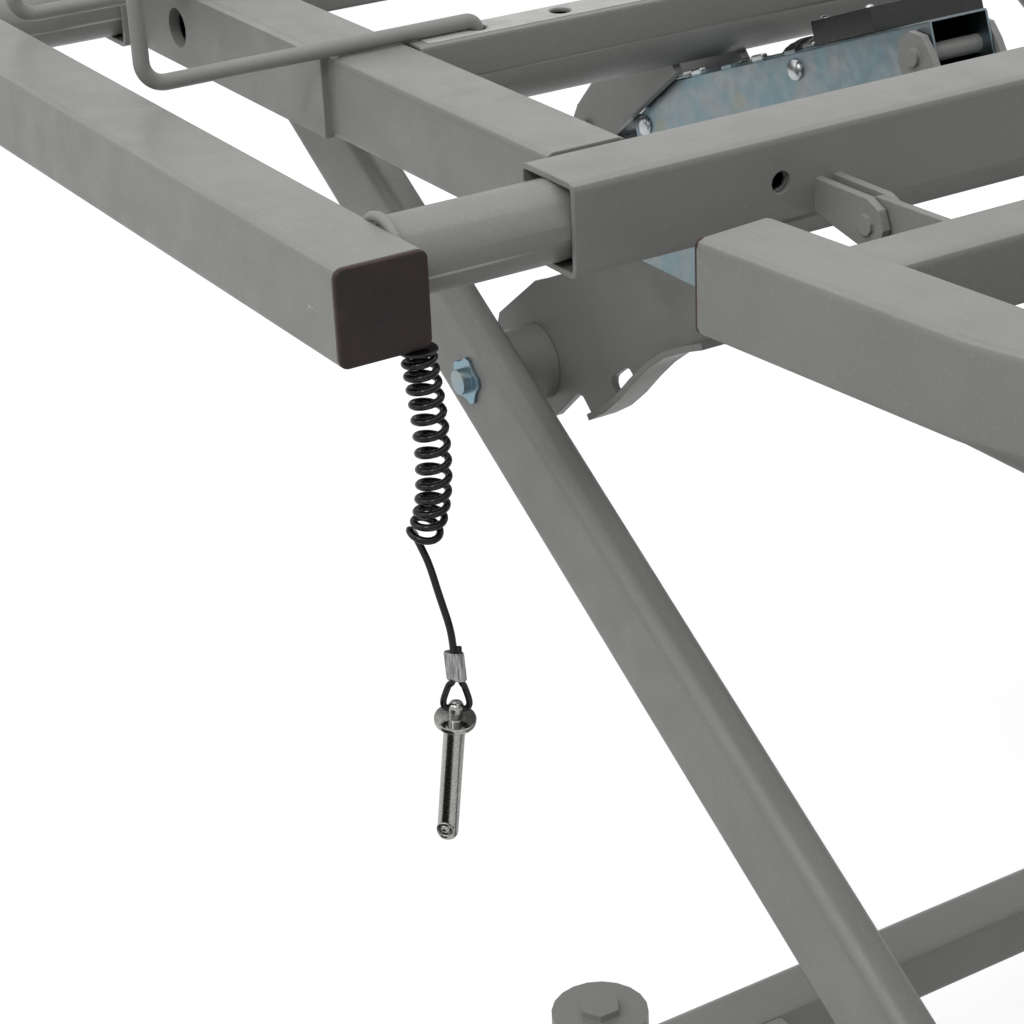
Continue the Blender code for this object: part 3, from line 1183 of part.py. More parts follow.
def end_cap(name, x, side, parent):
    """The plastic cap in a wing rail's end: a plate the size of the tube and a plug inside it."""
    plate = extrude("plate", [rounded(RAIL, RAIL, RAIL_RADIUS)], CAP_PLATE, "X",
                    Vector((x - CAP_PLATE / 2, side * WING_Y, WING_MID)))
    inside = RAIL - 2 * RAIL_WALL - 2 * SEAM
    plug = extrude("plug", [rounded(inside, inside, RAIL_RADIUS - RAIL_WALL)], CAP_PLUG, "X",
                   Vector((x - CAP_PLATE - CAP_PLUG / 2 + 1 * mm, side * WING_Y, WING_MID)))
    return hang(weld(name, [plate, plug]), parent, "cap_plastic")


def smooth_line(points, pitch):
    """A curve through hand-chosen points, read at an even pitch."""
    path = [Vector(p) for p in points]
    ends = [2 * path[0] - path[1]] + path + [2 * path[-1] - path[-2]]
    dense = []
    for a, b, c, d in zip(ends, ends[1:], ends[2:], ends[3:]):
        for k in range(24):
            t = k / 24
            dense.append(0.5 * ((2 * b) + (c - a) * t + (2 * a - 5 * b + 4 * c - d) * t * t
                                + (3 * b - a - 3 * c + d) * t * t * t))
    dense.append(path[-1])
    total = sum((b - a).length for a, b in zip(dense, dense[1:]))
    count = max(2, round(total / pitch))
    read, walked, k = [dense[0]], 0.0, 0
    for n in range(1, count):
        target = total * n / count
        while walked + (dense[k + 1] - dense[k]).length < target:
            walked += (dense[k + 1] - dense[k]).length
            k += 1
        step = (dense[k + 1] - dense[k])
        read.append(dense[k] + step * ((target - walked) / step.length))
    read.append(dense[-1])
    return read


def lanyard(parent):
    """The lanyard under the left foot wing: coil, straight cord, ferrule with its loop, and the pin."""
    hang(cylinder("lanyard_coil", COIL, COIL_TOP, COIL_LOW, 16), parent, "cord_plastic")
    start = Vector((CORD_ROUTE[0].x, CORD_ROUTE[0].y, COIL_LOW.z - 0.5 * mm))
    cord = smooth_line([start] + CORD_ROUTE, 2.2 * CORD)
    hang(sweep("lanyard_cord", cord, CORD), parent, "cord_plastic")
    down = (cord[-1] - cord[-2]).normalized()
    ferrule = cylinder("ferrule", FERRULE, cord[-1] + 2 * down * SEAM, FERRULE_LOW, 16)
    across = PIN_ALONG.cross(Vector((0, 1, 0)))
    eye = PIN_TIP + (PIN_LENGTH + PIN_EYE_AT) * PIN_ALONG
    wide = PIN_NECK / 2 + LOOP_WIRE / 2 + 1 * mm
    inside, below = FERRULE_LOW - 2 * mm * down, FERRULE_LOW + 4 * mm * down
    corners = [inside + 1.6 * mm * across, FERRULE_LOW + 2 * mm * across, below + wide * across,
               eye + wide * across, eye - wide * across, below - wide * across,
               FERRULE_LOW - 2 * mm * across, inside - 1.6 * mm * across]
    loop = sweep("loop", filleted(corners, [1.8 * mm] * 6, 3), LOOP_WIRE)
    hang(weld("lanyard_ferrule", [ferrule, loop]), parent, "aluminium")
    lock_pin("lock_pin_left", PIN_TIP, parent)


def build():
    """Build every body, each hanging from the empty on its joint's axis."""
    start_scene()
    base_frame()
    for socket_x, end_word, away in zip(SOCKET_XS, ENDS, (-1, 1)):
        for side, word in SIDES:
            caster(f"{end_word}_{word}", socket_x, side, away)
    arms = empty("foot_arm_pivot", FOOT_BASE_PIVOT)
    foot_arms(arms)
    head_arms(empty("head_arm_pivot", HEAD_BASE_PIVOT))
    main = empty("main_pivot", FOOT_TOP_PIVOT, arms)
    main_rails(main)
    main_cross_tubes(main)
    pivot_shaft("foot_pivot_shaft", FOOT_TOP_PIVOT, main)
    pivot_shaft("head_pivot_shaft", HEAD_TOP_PIVOT, main)
    seat_section(main)
    back = empty("back_hinge", (BACK_HINGE_X, 0, BACK_HINGE_Z), main)
    back_section(back)
    thigh = empty("hip_hinge", (HIP_X, 0, KNEE_Z), main)
    thigh_section(thigh)
    foot = empty("knee_hinge", (KNEE_X, 0, KNEE_Z), thigh)
    foot_section(foot)
    for side, word in SIDES:
        support_links(empty(f"link_pivot_{word}", LINK_M + Vector((0, side * LINK_Y, 0)), main), side, word)
        slide = empty(f"foot_wing_slide_{word}", (FOOT_WING_END, side * WING_Y, WING_MID), foot)
        start = FOOT_WING_END - CAP_PLATE - SEAM
        wing(f"foot_wing_{word}", side, -DECK_HALF, start, (FOOT_SLIDE_X, -END_SLIDE_X), slide)
        end_cap(f"foot_wing_cap_{word}", FOOT_WING_END, side, slide)
        if side < 0:
            lanyard(slide)
        retainer(word, side, empty(f"retainer_lift_{word}", (BAR_XS[0], side * BAR_HOLE_Y, DECK_TOP), foot))
        slide = empty(f"back_wing_slide_{word}", (BACK_WING_START, side * WING_Y, WING_MID), back)
        wing(f"back_wing_{word}", side, BACK_WING_START, DECK_HALF, (BACK_START + RAIL / 2, END_SLIDE_X), slide)
    lift_actuator(main)
    back_actuator(main)


build()
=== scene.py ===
# %% [markdown]
# A hospital bed frame, dressed for a close studio photograph.
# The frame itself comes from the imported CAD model: rails, arms, hinges and drives are already there,
# in metres, each on the body that it moves with. This lesson gives those steel parts their finish, and
# adds the pieces that need finer surfaces than a solid has: the coiled lanyard with its lock pin, the
# smooth bails, the plastic caps, the weld beads, the film strips and the small fasteners.

# %% Load the frame
import bpy
import numpy as np
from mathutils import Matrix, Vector


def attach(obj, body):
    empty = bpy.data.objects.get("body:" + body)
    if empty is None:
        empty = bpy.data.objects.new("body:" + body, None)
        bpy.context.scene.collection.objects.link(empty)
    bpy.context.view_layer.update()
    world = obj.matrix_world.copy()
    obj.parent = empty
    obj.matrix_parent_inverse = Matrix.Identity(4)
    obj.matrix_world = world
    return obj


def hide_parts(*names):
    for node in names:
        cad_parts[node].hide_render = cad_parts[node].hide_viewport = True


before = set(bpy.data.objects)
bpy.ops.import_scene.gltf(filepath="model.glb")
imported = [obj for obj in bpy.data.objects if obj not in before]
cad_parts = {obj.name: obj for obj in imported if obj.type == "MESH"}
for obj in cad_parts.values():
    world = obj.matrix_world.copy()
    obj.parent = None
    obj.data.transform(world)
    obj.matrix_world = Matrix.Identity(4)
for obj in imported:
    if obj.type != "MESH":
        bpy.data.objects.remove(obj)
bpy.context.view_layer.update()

mm = 0.001

# %% [markdown]
# The camera stands where the photographer stood: 1.2 m high beside the head of the bed, looking down
# along it with a long lens, so the frame runs out of the picture on all sides. A camera can be aimed by
# hand or with a tracking constraint; here its place and its three axes were worked out from tube corners
# whose real places are known, because that puts every edge where the photograph has it. A camera looks
# along its own -Z, so the columns of its matrix are right, up and backwards.

# %% Camera
EYE = Vector((0.6095, -1.0382, 1.1560))
LOOK = Vector((-0.7757, 0.4574, -0.4349)).normalized()
ASIDE = Vector((0.5244, 0.8505, -0.0408))
ASIDE = (ASIDE - ASIDE.dot(LOOK) * LOOK).normalized()
UPWARD = ASIDE.cross(LOOK)
LENS = 90.5              # focal length in mm, on a sensor 36 mm wide

camera = bpy.data.objects.new("camera", bpy.data.cameras.new("camera"))
camera.data.sensor_width = 36
camera.data.lens = LENS
camera.data.clip_start, camera.data.clip_end = 0.05, 60
for column, axis in enumerate((ASIDE, UPWARD, -LOOK, EYE)):
    for row in range(3):
        camera.matrix_world[row][column] = axis[row]
bpy.context.scene.collection.objects.link(camera)
bpy.context.scene.camera = camera
bpy.context.scene.view_settings.view_transform = "Standard"
print("lens", LENS, "mm, looking down", round(np.degrees(np.arcsin(-LOOK.z)), 1), "degrees")

# %% [markdown]
# Two small helpers serve every material. Colours are written as sRGB hex values, the way a paint card
# gives them, while a shader counts in linear light, so one function turns them. The other adds a node:
# its settings go to the socket or the property of that name, and its links name the output that feeds
# each socket.

# %% Colours and nodes
def linear(code):
    """Linear colour of an sRGB hex value: c / 12.92 where c is dark, else ((c + 0.055) / 1.055) ** 2.4."""
    srgb = np.array([int(code[k:k + 2], 16) for k in (1, 3, 5)]) / 255
    light = np.where(srgb <= 0.04045, srgb / 12.92, ((srgb + 0.055) / 1.055) ** 2.4)
    return (float(light[0]), float(light[1]), float(light[2]), 1.0)


def add(tree, kind, settings=None, links=()):
    """One node: settings are values of its sockets or properties, links are pairs of output and socket."""
    node = tree.nodes.new(kind)
    for key, value in (settings or {}).items():
        if isinstance(key, int) or key in node.inputs:
            node.inputs[key].default_value = value
        else:
            setattr(node, key, value)
    for output, socket in links:
        tree.links.new(output, node.inputs[socket])
    return node

print("paint grey in linear light:", [round(c, 3) for c in linear("#878784")[:3]])

# %% [markdown]
# The light is that of a catalogue studio: a big softbox overhead, a weaker one from the side that the
# camera stands on, a small key lamp for crisp highlights, and a white room. The picture's background is
# pure white. Brighter lamps would give that too, but they would bleach the paint, so the world and the
# floor look white only to the camera and in reflections, while the light that they give to the object
# stays plain. The floor keeps the object's shadow, because only a part of its brightness is its own.

# %% Floor, world and lamps
def seen_directly(tree):
    """1 for a ray from the camera, a mirror or a glass, and 0 for a ray that carries light: their maximum."""
    path = add(tree, "ShaderNodeLightPath")
    either = add(tree, "ShaderNodeMath", {"operation": "MAXIMUM"},
                 [(path.outputs["Is Camera Ray"], 0), (path.outputs["Is Glossy Ray"], 1)])
    return add(tree, "ShaderNodeMath", {"operation": "MAXIMUM"},
               [(either.outputs[0], 0), (path.outputs["Is Transmission Ray"], 1)]).outputs[0]


ROOM_LIGHT = 0.46        # strength of the room's light on the object
FLOOR_GLOW = 0.74        # the floor's own brightness as the camera sees it; the lamps add the rest

world = bpy.data.worlds.new("white_room")
bpy.context.scene.world = world
world.use_nodes = True
world.node_tree.nodes.clear()
room = add(world.node_tree, "ShaderNodeBackground", {"Color": linear("#ffffff"), "Strength": ROOM_LIGHT})
white = add(world.node_tree, "ShaderNodeBackground", {"Color": linear("#ffffff"), "Strength": 1.0})
sky = add(world.node_tree, "ShaderNodeMixShader", {},
          [(seen_directly(world.node_tree), 0), (room.outputs[0], 1), (white.outputs[0], 2)])
add(world.node_tree, "ShaderNodeOutputWorld", {}, [(sky.outputs[0], "Surface")])

floor_paint = bpy.data.materials.new("painted_studio_floor")
floor_paint.use_nodes = True
tree = floor_paint.node_tree
tree.nodes.clear()
matt = add(tree, "ShaderNodeBsdfDiffuse", {"Color": linear("#b6b6b6")})
lift = add(tree, "ShaderNodeMath", {"operation": "MULTIPLY", 1: FLOOR_GLOW}, [(seen_directly(tree), 0)])
glow = add(tree, "ShaderNodeEmission", {"Color": linear("#ffffff")}, [(lift.outputs[0], "Strength")])
both = add(tree, "ShaderNodeAddShader", {}, [(matt.outputs[0], 0), (glow.outputs[0], 1)])
add(tree, "ShaderNodeOutputMaterial", {}, [(both.outputs[0], "Surface")])

floor_mesh = bpy.data.meshes.new("studio_floor")
floor_mesh.from_pydata([(-20, -20, 0), (20, -20, 0), (20, 20, 0), (-20, 20, 0)], [], [(0, 1, 2, 3)])
floor_mesh.materials.append(floor_paint)
studio_floor = bpy.data.objects.new("studio_floor", floor_mesh)
bpy.context.scene.collection.objects.link(studio_floor)


def softbox(name, place, target, size, power):
    """A square lamp: it looks along its own -Z, which is turned from its place towards its target."""
    lamp = bpy.data.lights.new(name, "AREA")
    lamp.size, lamp.energy = size, power
    made = bpy.data.objects.new(name, lamp)
    made.location = place
    made.rotation_euler = (Vector(target) - Vector(place)).to_track_quat("-Z", "Y").to_euler()
    bpy.context.scene.collection.objects.link(made)


softbox("softbox_above", (-0.4, -0.3, 3.2), (-0.4, 0.0, 0.7), 3.0, 34)
softbox("softbox_side", (-1.0, -2.8, 2.3), (-0.5, 0.0, 0.6), 1.8, 17)
softbox("key_lamp", (0.7, -1.9, 2.5), (-0.5, -0.2, 0.7), 0.55, 13)
print("studio: one floor, two softboxes, a key lamp and a white room")

# %% [markdown]
# Chrome and nickel show what stands round them, and in an all white room they look like grey paint.
# A photographer stands a black card where a turned pin mirrors it, and the pin gets its dark stripe.
# A ray from the lens leaves the pin's camera side down and to the left, so the card stands there. It is
# one flat face that only mirror-like rays meet: it casts no shadow and takes no light.

# %% Black card for the bright metal
PIN_PLACE = Vector((-0.398, -0.488, 0.450))
MIRRORED = Vector((0.13, -0.71, -0.70)).normalized()
CARD_AWAY, CARD_WIDE, CARD_HIGH = 0.35, 0.19, 0.15       # distance and half sizes, in metres
card_middle = PIN_PLACE + CARD_AWAY * MIRRORED
card_across = CARD_WIDE * MIRRORED.cross(Vector((0, 0, 1))).normalized()
card_up = CARD_HIGH * card_across.normalized().cross(MIRRORED)
card_corners = [card_middle + a * card_across + b * card_up for a, b in ((-1, -1), (1, -1), (1, 1), (-1, 1))]
card_mesh = bpy.data.meshes.new("black_card")
card_mesh.from_pydata(card_corners, [], [(0, 1, 2, 3)])
card = bpy.data.objects.new("black_card", card_mesh)
bpy.context.scene.collection.objects.link(card)
for kind in ("camera", "diffuse", "transmission", "shadow", "volume_scatter"):
    setattr(card, "visible_" + kind, False)
black = bpy.data.materials.new("black_card_felt")
black.use_nodes = True
felt = black.node_tree.nodes["Principled BSDF"].inputs
felt["Base Color"].default_value = linear("#1c1c1c")
felt["Roughness"].default_value = 1.0
card_mesh.materials.append(black)
print("black card at", np.round(card_middle, 2).tolist())

# %% [markdown]
# Blender's own tubes and cylinders could be stretched into most of the new pieces, but a coil, a crimped
# sleeve or a rippled weld needs its points worked out anyway. So every new piece is a skin over rings of
# points: point (i, j) of the grid is point j of ring i, and its neighbours around and along give the
# faces. A tube, a turned part, a cap and a weld bead differ only in how their rings are worked out, so
# one function makes the skin, and one makes the piece.

# %% Skins and pieces
def skin(rings, ends=True):
    """Vertices, faces and the distance along of a surface through rings, given as an array (i, j, xyz).

    Each face joins (i, j), (i, j+1), (i+1, j+1) and (i+1, j). Both ends are closed by a fan of
    triangles about the ring's mean, unless ends is False.
    """
    rings = np.asarray(rings, dtype=float)
    count, sides = rings.shape[:2]
    index = np.arange(count * sides).reshape(count, sides)
    first, second = index[:-1], index[1:]
    quads = np.stack([first, np.roll(first, -1, 1), np.roll(second, -1, 1), second], -1).reshape(-1, 4)
    middle = rings.mean(1)
    along = np.concatenate([[0.0], np.cumsum(np.linalg.norm(np.diff(middle, axis=0), axis=1))])
    spots, faces, runs = rings.reshape(-1, 3), quads.tolist(), np.repeat(along, sides)
    if ends:
        n = count * sides
        spots = np.concatenate([spots, middle[:1], middle[-1:]])
        runs = np.concatenate([runs, along[:1], along[-1:]])
        start, end = index[0], index[-1]
        faces += np.stack([np.full(sides, n), np.roll(start, -1), start], -1).tolist()
        faces += np.stack([np.full(sides, n + 1), end, np.roll(end, -1)], -1).tolist()
    return spots, faces, runs


def piece(name, skins, body, finish, replaces=(), angle=40, thick=None):
    """One object from several skins: it rides on a body, has a finish, and may stand for CAD nodes."""
    shift, spots, faces, runs = 0, [], [], []
    for points, polygons, along in skins:
        spots.append(points)
        runs.append(along)
        faces += [[corner + shift for corner in polygon] for polygon in polygons]
        shift += len(points)
    mesh = bpy.data.meshes.new(name)
    mesh.from_pydata(np.concatenate(spots).tolist(), [], faces)
    mesh.attributes.new("along", "FLOAT", "POINT").data.foreach_set("value", np.concatenate(runs))
    mesh.shade_smooth()
    mesh.set_sharp_from_angle(angle=np.radians(angle))
    mesh.materials.append(finish)
    made = bpy.data.objects.new(name, mesh)
    bpy.context.scene.collection.objects.link(made)
    if thick:
        wall = made.modifiers.new("thickness", "SOLIDIFY")
        wall.thickness, wall.offset = thick, -1
    made.modifiers.new("flat_faces", "WEIGHTED_NORMAL").keep_sharp = True
    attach(made, body)
    if replaces:
        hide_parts(*replaces)
    print(f"{name}: {len(mesh.polygons)} faces on {body}")
    return made


def unit(vectors):
    """Vectors divided by their lengths."""
    vectors = np.asarray(vectors, dtype=float)
    return vectors / np.linalg.norm(vectors, axis=-1, keepdims=True)


def tube(path, radius, sides=16, off=(0.0, 0.6, 0.8)):
    """Rings of a round tube on a path: path + radius (cos a N + sin a B), N = off x T and B = T x N."""
    path = np.asarray(path, dtype=float)
    ahead = unit(np.gradient(path, axis=0))
    normal = unit(np.cross(off, ahead))
    across = np.cross(ahead, normal)
    turn = np.linspace(0, 2 * np.pi, sides, endpoint=False)
    radius = np.broadcast_to(radius, len(path))[:, None, None]
    return path[:, None] + radius * (np.cos(turn)[None, :, None] * normal[:, None]
                                     + np.sin(turn)[None, :, None] * across[:, None])


def turned(profile, origin, axis, sides=32):
    """Rings of a turned part: each (radius, height) of the profile is a circle about the axis."""
    axis = unit(axis)
    off = (1.0, 0.0, 0.0) if abs(axis[0]) < 0.8 else (0.0, 1.0, 0.0)
    normal = unit(np.cross(off, axis))
    across = np.cross(axis, normal)
    turn = np.linspace(0, 2 * np.pi, sides, endpoint=False)
    radius, height = np.asarray(profile, dtype=float).T
    around = np.cos(turn)[:, None] * normal + np.sin(turn)[:, None] * across
    return np.asarray(origin) + height[:, None, None] * axis + radius[:, None, None] * around[None]


def rounded(width, height, radius, steps=6):
    """Outline of a rectangle with round corners: each corner's centre + radius (cos a, sin a)."""
    turn = np.linspace(0, np.pi / 2, steps + 1)[None] + np.pi / 2 * np.arange(4)[:, None]
    centre = np.array([(1, 1), (-1, 1), (-1, -1), (1, -1)]) * (width / 2 - radius, height / 2 - radius)
    return (centre[:, None] + radius * np.stack([np.cos(turn), np.sin(turn)], -1)).reshape(-1, 2)


RAIL, CORNER = 50.8 * mm, 5 * mm         # the frame's square tube and its outer corner radius
print("outline of a rail:", len(rounded(RAIL, RAIL, CORNER)), "points")

# %% [markdown]
# The frame's paint is a polyester powder coat in a warm mid grey. Powder is sprayed on dry and melted
# in an oven, so it never lies quite flat: it has a faint orange peel about 1.6 mm across, its tone
# drifts a little over a hand's width, and it is a trace thinner along sharp edges. One grey
# and one roughness would look like plastic, so noise of three sizes drives them. A Bevel node rounds
# the edges in the light, and its difference from the true normal marks them for a paler colour, which
# is partly wear of the thinner coat and partly a painted highlight along the edges.

# %% Powder coat
def start(name, values):
    """A material with one Principled shader, whose constant values sit on its own sockets."""
    made = bpy.data.materials.new(name)
    made.use_nodes = True
    tree = made.node_tree
    tree.nodes.clear()
    place = add(tree, "ShaderNodeTexCoord").outputs["Object"]
    shader = add(tree, "ShaderNodeBsdfPrincipled", values)
    add(tree, "ShaderNodeOutputMaterial", {}, [(shader.outputs[0], "Surface")])
    return made, tree, place, shader


def stretch(low, high, a, b):
    """Settings of a Map Range that stretches low to high into a to b."""
    return {"From Min": low, "From Max": high, "To Min": a, "To Max": b}


def clouds(tree, place, size, detail, low, high, a, b):
    """Soft spots of about a size in metres, whose noise from low to high is stretched to a to b."""
    noise = add(tree, "ShaderNodeTexNoise", {"Scale": 1 / size, "Detail": detail}, [(place, "Vector")])
    return add(tree, "ShaderNodeMapRange", stretch(low, high, a, b), [(noise.outputs[0], "Value")]).outputs[0]


def edge_light_and_wear(tree, radius, flat, most):
    """The normal with edges rounded to a radius, and a mask: 0 where it stays true, most where it turns."""
    soft = add(tree, "ShaderNodeBevel", {"samples": 4, "Radius": radius}).outputs[0]
    true = add(tree, "ShaderNodeNewGeometry").outputs["Normal"]
    turn = add(tree, "ShaderNodeVectorMath", {"operation": "DOT_PRODUCT"}, [(soft, 0), (true, 1)])
    mask = add(tree, "ShaderNodeMapRange", stretch(flat, 0.86, 0, most), [(turn.outputs["Value"], "Value")])
    return soft, mask.outputs[0]


def powder_coat(name, pale, dark, edge, rubs=()):
    """Polyester powder coat; rubs are places along X of round tubes with a pale line rubbed along them."""
    made, tree, place, shader = start(name, {"IOR": 1.5})
    drift = clouds(tree, place, 110 * mm, 3, 0.32, 0.68, 0, 1)
    tone = add(tree, "ShaderNodeMix", {"data_type": "RGBA", 6: linear(dark), 7: linear(pale)}, [(drift, 0)])
    specks = clouds(tree, place, 2.2 * mm, 3, 0.56, 0.74, 0, 0.22)
    tone = add(tree, "ShaderNodeMix", {"data_type": "RGBA", 7: linear(edge)},
               [(specks, 0), (tone.outputs[2], 6)])
    # Edges painted paler: partly wear of the thinner coat, partly a painted highlight along them.
    soft, wear_and_highlight = edge_light_and_wear(tree, 1.1 * mm, 0.995, 0.5)
    patchy = add(tree, "ShaderNodeMath", {"operation": "MULTIPLY"},
                 [(wear_and_highlight, 0), (clouds(tree, place, 9 * mm, 3, 0.3, 0.62, 0.3, 1), 1)])
    tone = add(tree, "ShaderNodeMix", {"data_type": "RGBA", 7: linear(edge)},
               [(patchy.outputs[0], 0), (tone.outputs[2], 6)])
    parts = add(tree, "ShaderNodeSeparateXYZ", {}, [(place, 0)]) if rubs else None
    for x in rubs:
        near = add(tree, "ShaderNodeMath", {"operation": "COMPARE", 1: x + 20 * mm, 2: 2.6 * mm},
                   [(parts.outputs["X"], 0)])
        level = add(tree, "ShaderNodeMath", {"operation": "COMPARE", 1: 713.6 * mm, 2: 0.8 * mm},
                    [(parts.outputs["Z"], 0)])
        drawn = add(tree, "ShaderNodeMapping", {"Scale": (1, 0.06, 1)}, [(place, "Vector")]).outputs[0]
        strip = add(tree, "ShaderNodeMath", {"operation": "MULTIPLY"}, [(near.outputs[0], 0), (level.outputs[0], 1)])
        mark = add(tree, "ShaderNodeMath", {"operation": "MULTIPLY"},
                   [(strip.outputs[0], 0), (clouds(tree, drawn, 1 / 240, 3, 0.36, 0.6, 0, 0.75), 1)])
        tone = add(tree, "ShaderNodeMix", {"data_type": "RGBA", 7: linear("#cfcfcb")},
                   [(mark.outputs[0], 0), (tone.outputs[2], 6)])
    tree.links.new(tone.outputs[2], shader.inputs["Base Color"])
    tree.links.new(clouds(tree, place, 24 * mm, 3, 0.3, 0.7, 0.36, 0.50), shader.inputs["Roughness"])
    peel = add(tree, "ShaderNodeTexNoise", {"Scale": 1 / (1.6 * mm), "Detail": 1.5}, [(place, "Vector")])
    bump = add(tree, "ShaderNodeBump", {"Strength": 0.22, "Distance": 0.12 * mm},
               [(peel.outputs[0], "Height"), (soft, "Normal")])
    tree.links.new(bump.outputs[0], shader.inputs["Normal"])
    return made


GREYS = ("#868683", "#80807d", "#a6a6a2")
SLIDE_XS = {"foot": (-447.6 * mm, -1004.6 * mm), "back": (287.4 * mm, 1004.6 * mm)}      # the round slide tubes
GREY_COAT = powder_coat("polyester_powder_coat_grey", *GREYS)
RUBBED_COAT = powder_coat("polyester_powder_coat_grey_rubbed", *GREYS, rubs=SLIDE_XS["foot"] + SLIDE_XS["back"])
print("powder coat:", len(GREY_COAT.node_tree.nodes), "nodes")

# %% [markdown]
# The bought-in metal parts have other finishes. Zinc plate is bluish from its passivation bath, with
# faint yellow and a cloudy gloss. The lock pin is turned steel under bright nickel, so fine rings run
# round it, and drawn aluminium has soft lines along its length. An anisotropic shader could smear the
# highlights across them, but it draws no lines, so the lines are in the roughness and the bump.

# %% Metals
def zinc_plate(name, blue, plain, tint, rough):
    """Electroplated zinc: clouds of blue passivation 18 mm across, and a fine dull bloom."""
    made, tree, place, shader = start(name, {"Metallic": 1.0})
    tone = add(tree, "ShaderNodeMix", {"data_type": "RGBA", 6: linear(plain), 7: linear(blue)},
               [(clouds(tree, place, 18 * mm, 4, 0.38, 0.62, 0, 1), 0)])
    tone = add(tree, "ShaderNodeMix", {"data_type": "RGBA", 7: linear(tint)},
               [(clouds(tree, place, 31 * mm, 3, 0.58, 0.72, 0, 0.5), 0), (tone.outputs[2], 6)])
    tree.links.new(tone.outputs[2], shader.inputs["Base Color"])
    tree.links.new(clouds(tree, place, 7 * mm, 4, 0.3, 0.7, rough, rough + 0.16), shader.inputs["Roughness"])
    soft = add(tree, "ShaderNodeBevel", {"samples": 4, "Radius": 0.5 * mm}).outputs[0]
    bloom = add(tree, "ShaderNodeTexNoise", {"Scale": 1 / (0.7 * mm), "Detail": 2}, [(place, "Vector")])
    bump = add(tree, "ShaderNodeBump", {"Strength": 0.2, "Distance": 0.05 * mm},
               [(bloom.outputs[0], "Height"), (soft, "Normal")])
    tree.links.new(bump.outputs[0], shader.inputs["Normal"])
    return made


def lined_metal(name, pale, dark, rough, line, lengthwise):
    """Turned or drawn metal: lines of about a size along the piece, or rings round it from its own run."""
    made, tree, place, shader = start(name, {"Metallic": 1.0})
    if lengthwise:
        drawn = add(tree, "ShaderNodeMapping", {"Scale": (1, 1, 0.03)}, [(place, "Vector")])
        lines = add(tree, "ShaderNodeTexNoise", {"Scale": 1 / line}, [(drawn.outputs[0], "Vector")]).outputs[0]
        haze = lines
    else:
        run = add(tree, "ShaderNodeAttribute", {"attribute_name": "along"}).outputs["Fac"]
        lines = add(tree, "ShaderNodeTexNoise", {"noise_dimensions": "1D", "Scale": 1 / line},
                    [(run, "W")]).outputs[0]
        haze = add(tree, "ShaderNodeTexNoise", {"Scale": 1 / (1.1 * mm), "Detail": 4}, [(place, "Vector")]).outputs[0]
    haze = add(tree, "ShaderNodeMapRange", stretch(0.38, 0.62, 0, 1), [(haze, "Value")]).outputs[0]
    tone = add(tree, "ShaderNodeMix", {"data_type": "RGBA", 6: linear(dark), 7: linear(pale)}, [(haze, 0)])
    tree.links.new(tone.outputs[2], shader.inputs["Base Color"])
    dull = add(tree, "ShaderNodeMapRange", stretch(0.3, 0.7, rough, rough + 0.12), [(lines, "Value")])
    tree.links.new(dull.outputs[0], shader.inputs["Roughness"])
    bump = add(tree, "ShaderNodeBump", {"Strength": 0.4, "Distance": 0.03 * mm}, [(lines, "Height")])
    tree.links.new(bump.outputs[0], shader.inputs["Normal"])
    return made


ZINC = zinc_plate("zinc_plate_clear", "#71858c", "#81898b", "#88856f", 0.28)
BLUE_ZINC = zinc_plate("zinc_plate_blue", "#7d99a6", "#8c9aa0", "#a3a08c", 0.30)
NICKEL = lined_metal("turned_steel_bright_nickel", "#a3a3a0", "#8b8b87", 0.16, 0.5 * mm, False)
ALUMINIUM = lined_metal("drawn_aluminium", "#a9a9a9", "#727272", 0.24, 0.7 * mm, True)
BRIGHT_STEEL = zinc_plate("ground_steel_bright", "#b2b5b7", "#a9abac", "#a8a59c", 0.22)
print("metals:", [m.name for m in (ZINC, BLUE_ZINC, NICKEL, ALUMINIUM, BRIGHT_STEEL)])

# %% [markdown]
# The plastics are black or dark brown: glossy polyurethane on the cord, spark-eroded polyethylene on
# the caps, with a redder rim painted where light shines through their thin edges, glass-filled nylon on
# the motors, and grey thermoplastic rubber on the wheels. The film strips are matt polyester. A material
# of its own for each would repeat the same nodes, so one recipe with other colours, gloss and grit serves
# them all.

# %% Plastics, rubber and film
def moulded(name, pale, dark, rough, grit, depth, ior, level=0.5, rim=None):
    """Moulded plastic: slight flow marks, a texture of a grit size in metres, and, if named, a rim colour painted for
    light shining through thin edges.
    """
    made, tree, place, shader = start(name, {"IOR": ior, "Specular IOR Level": level})
    flow = clouds(tree, place, 14 * mm, 3, 0.35, 0.65, 0, 1)
    tone = add(tree, "ShaderNodeMix", {"data_type": "RGBA", 6: linear(dark), 7: linear(pale)}, [(flow, 0)])
    if rim:
        # The rim colour is painted light: light shining through the thin edges of the plastic.
        soft, edges = edge_light_and_wear(tree, 1.4 * mm, 0.99, 0.85)
        tone = add(tree, "ShaderNodeMix", {"data_type": "RGBA", 7: linear(rim)}, [(edges, 0), (tone.outputs[2], 6)])
    else:
        soft = add(tree, "ShaderNodeBevel", {"samples": 4, "Radius": 0.5 * mm}).outputs[0]
    tree.links.new(tone.outputs[2], shader.inputs["Base Color"])
    tree.links.new(clouds(tree, place, 5 * mm, 4, 0.3, 0.7, rough, rough + 0.12), shader.inputs["Roughness"])
    texture = add(tree, "ShaderNodeTexNoise", {"Scale": 1 / grit, "Detail": 2}, [(place, "Vector")])
    bump = add(tree, "ShaderNodeBump", {"Strength": 0.3, "Distance": depth},
               [(texture.outputs[0], "Height"), (soft, "Normal")])
    tree.links.new(bump.outputs[0], shader.inputs["Normal"])
    return made


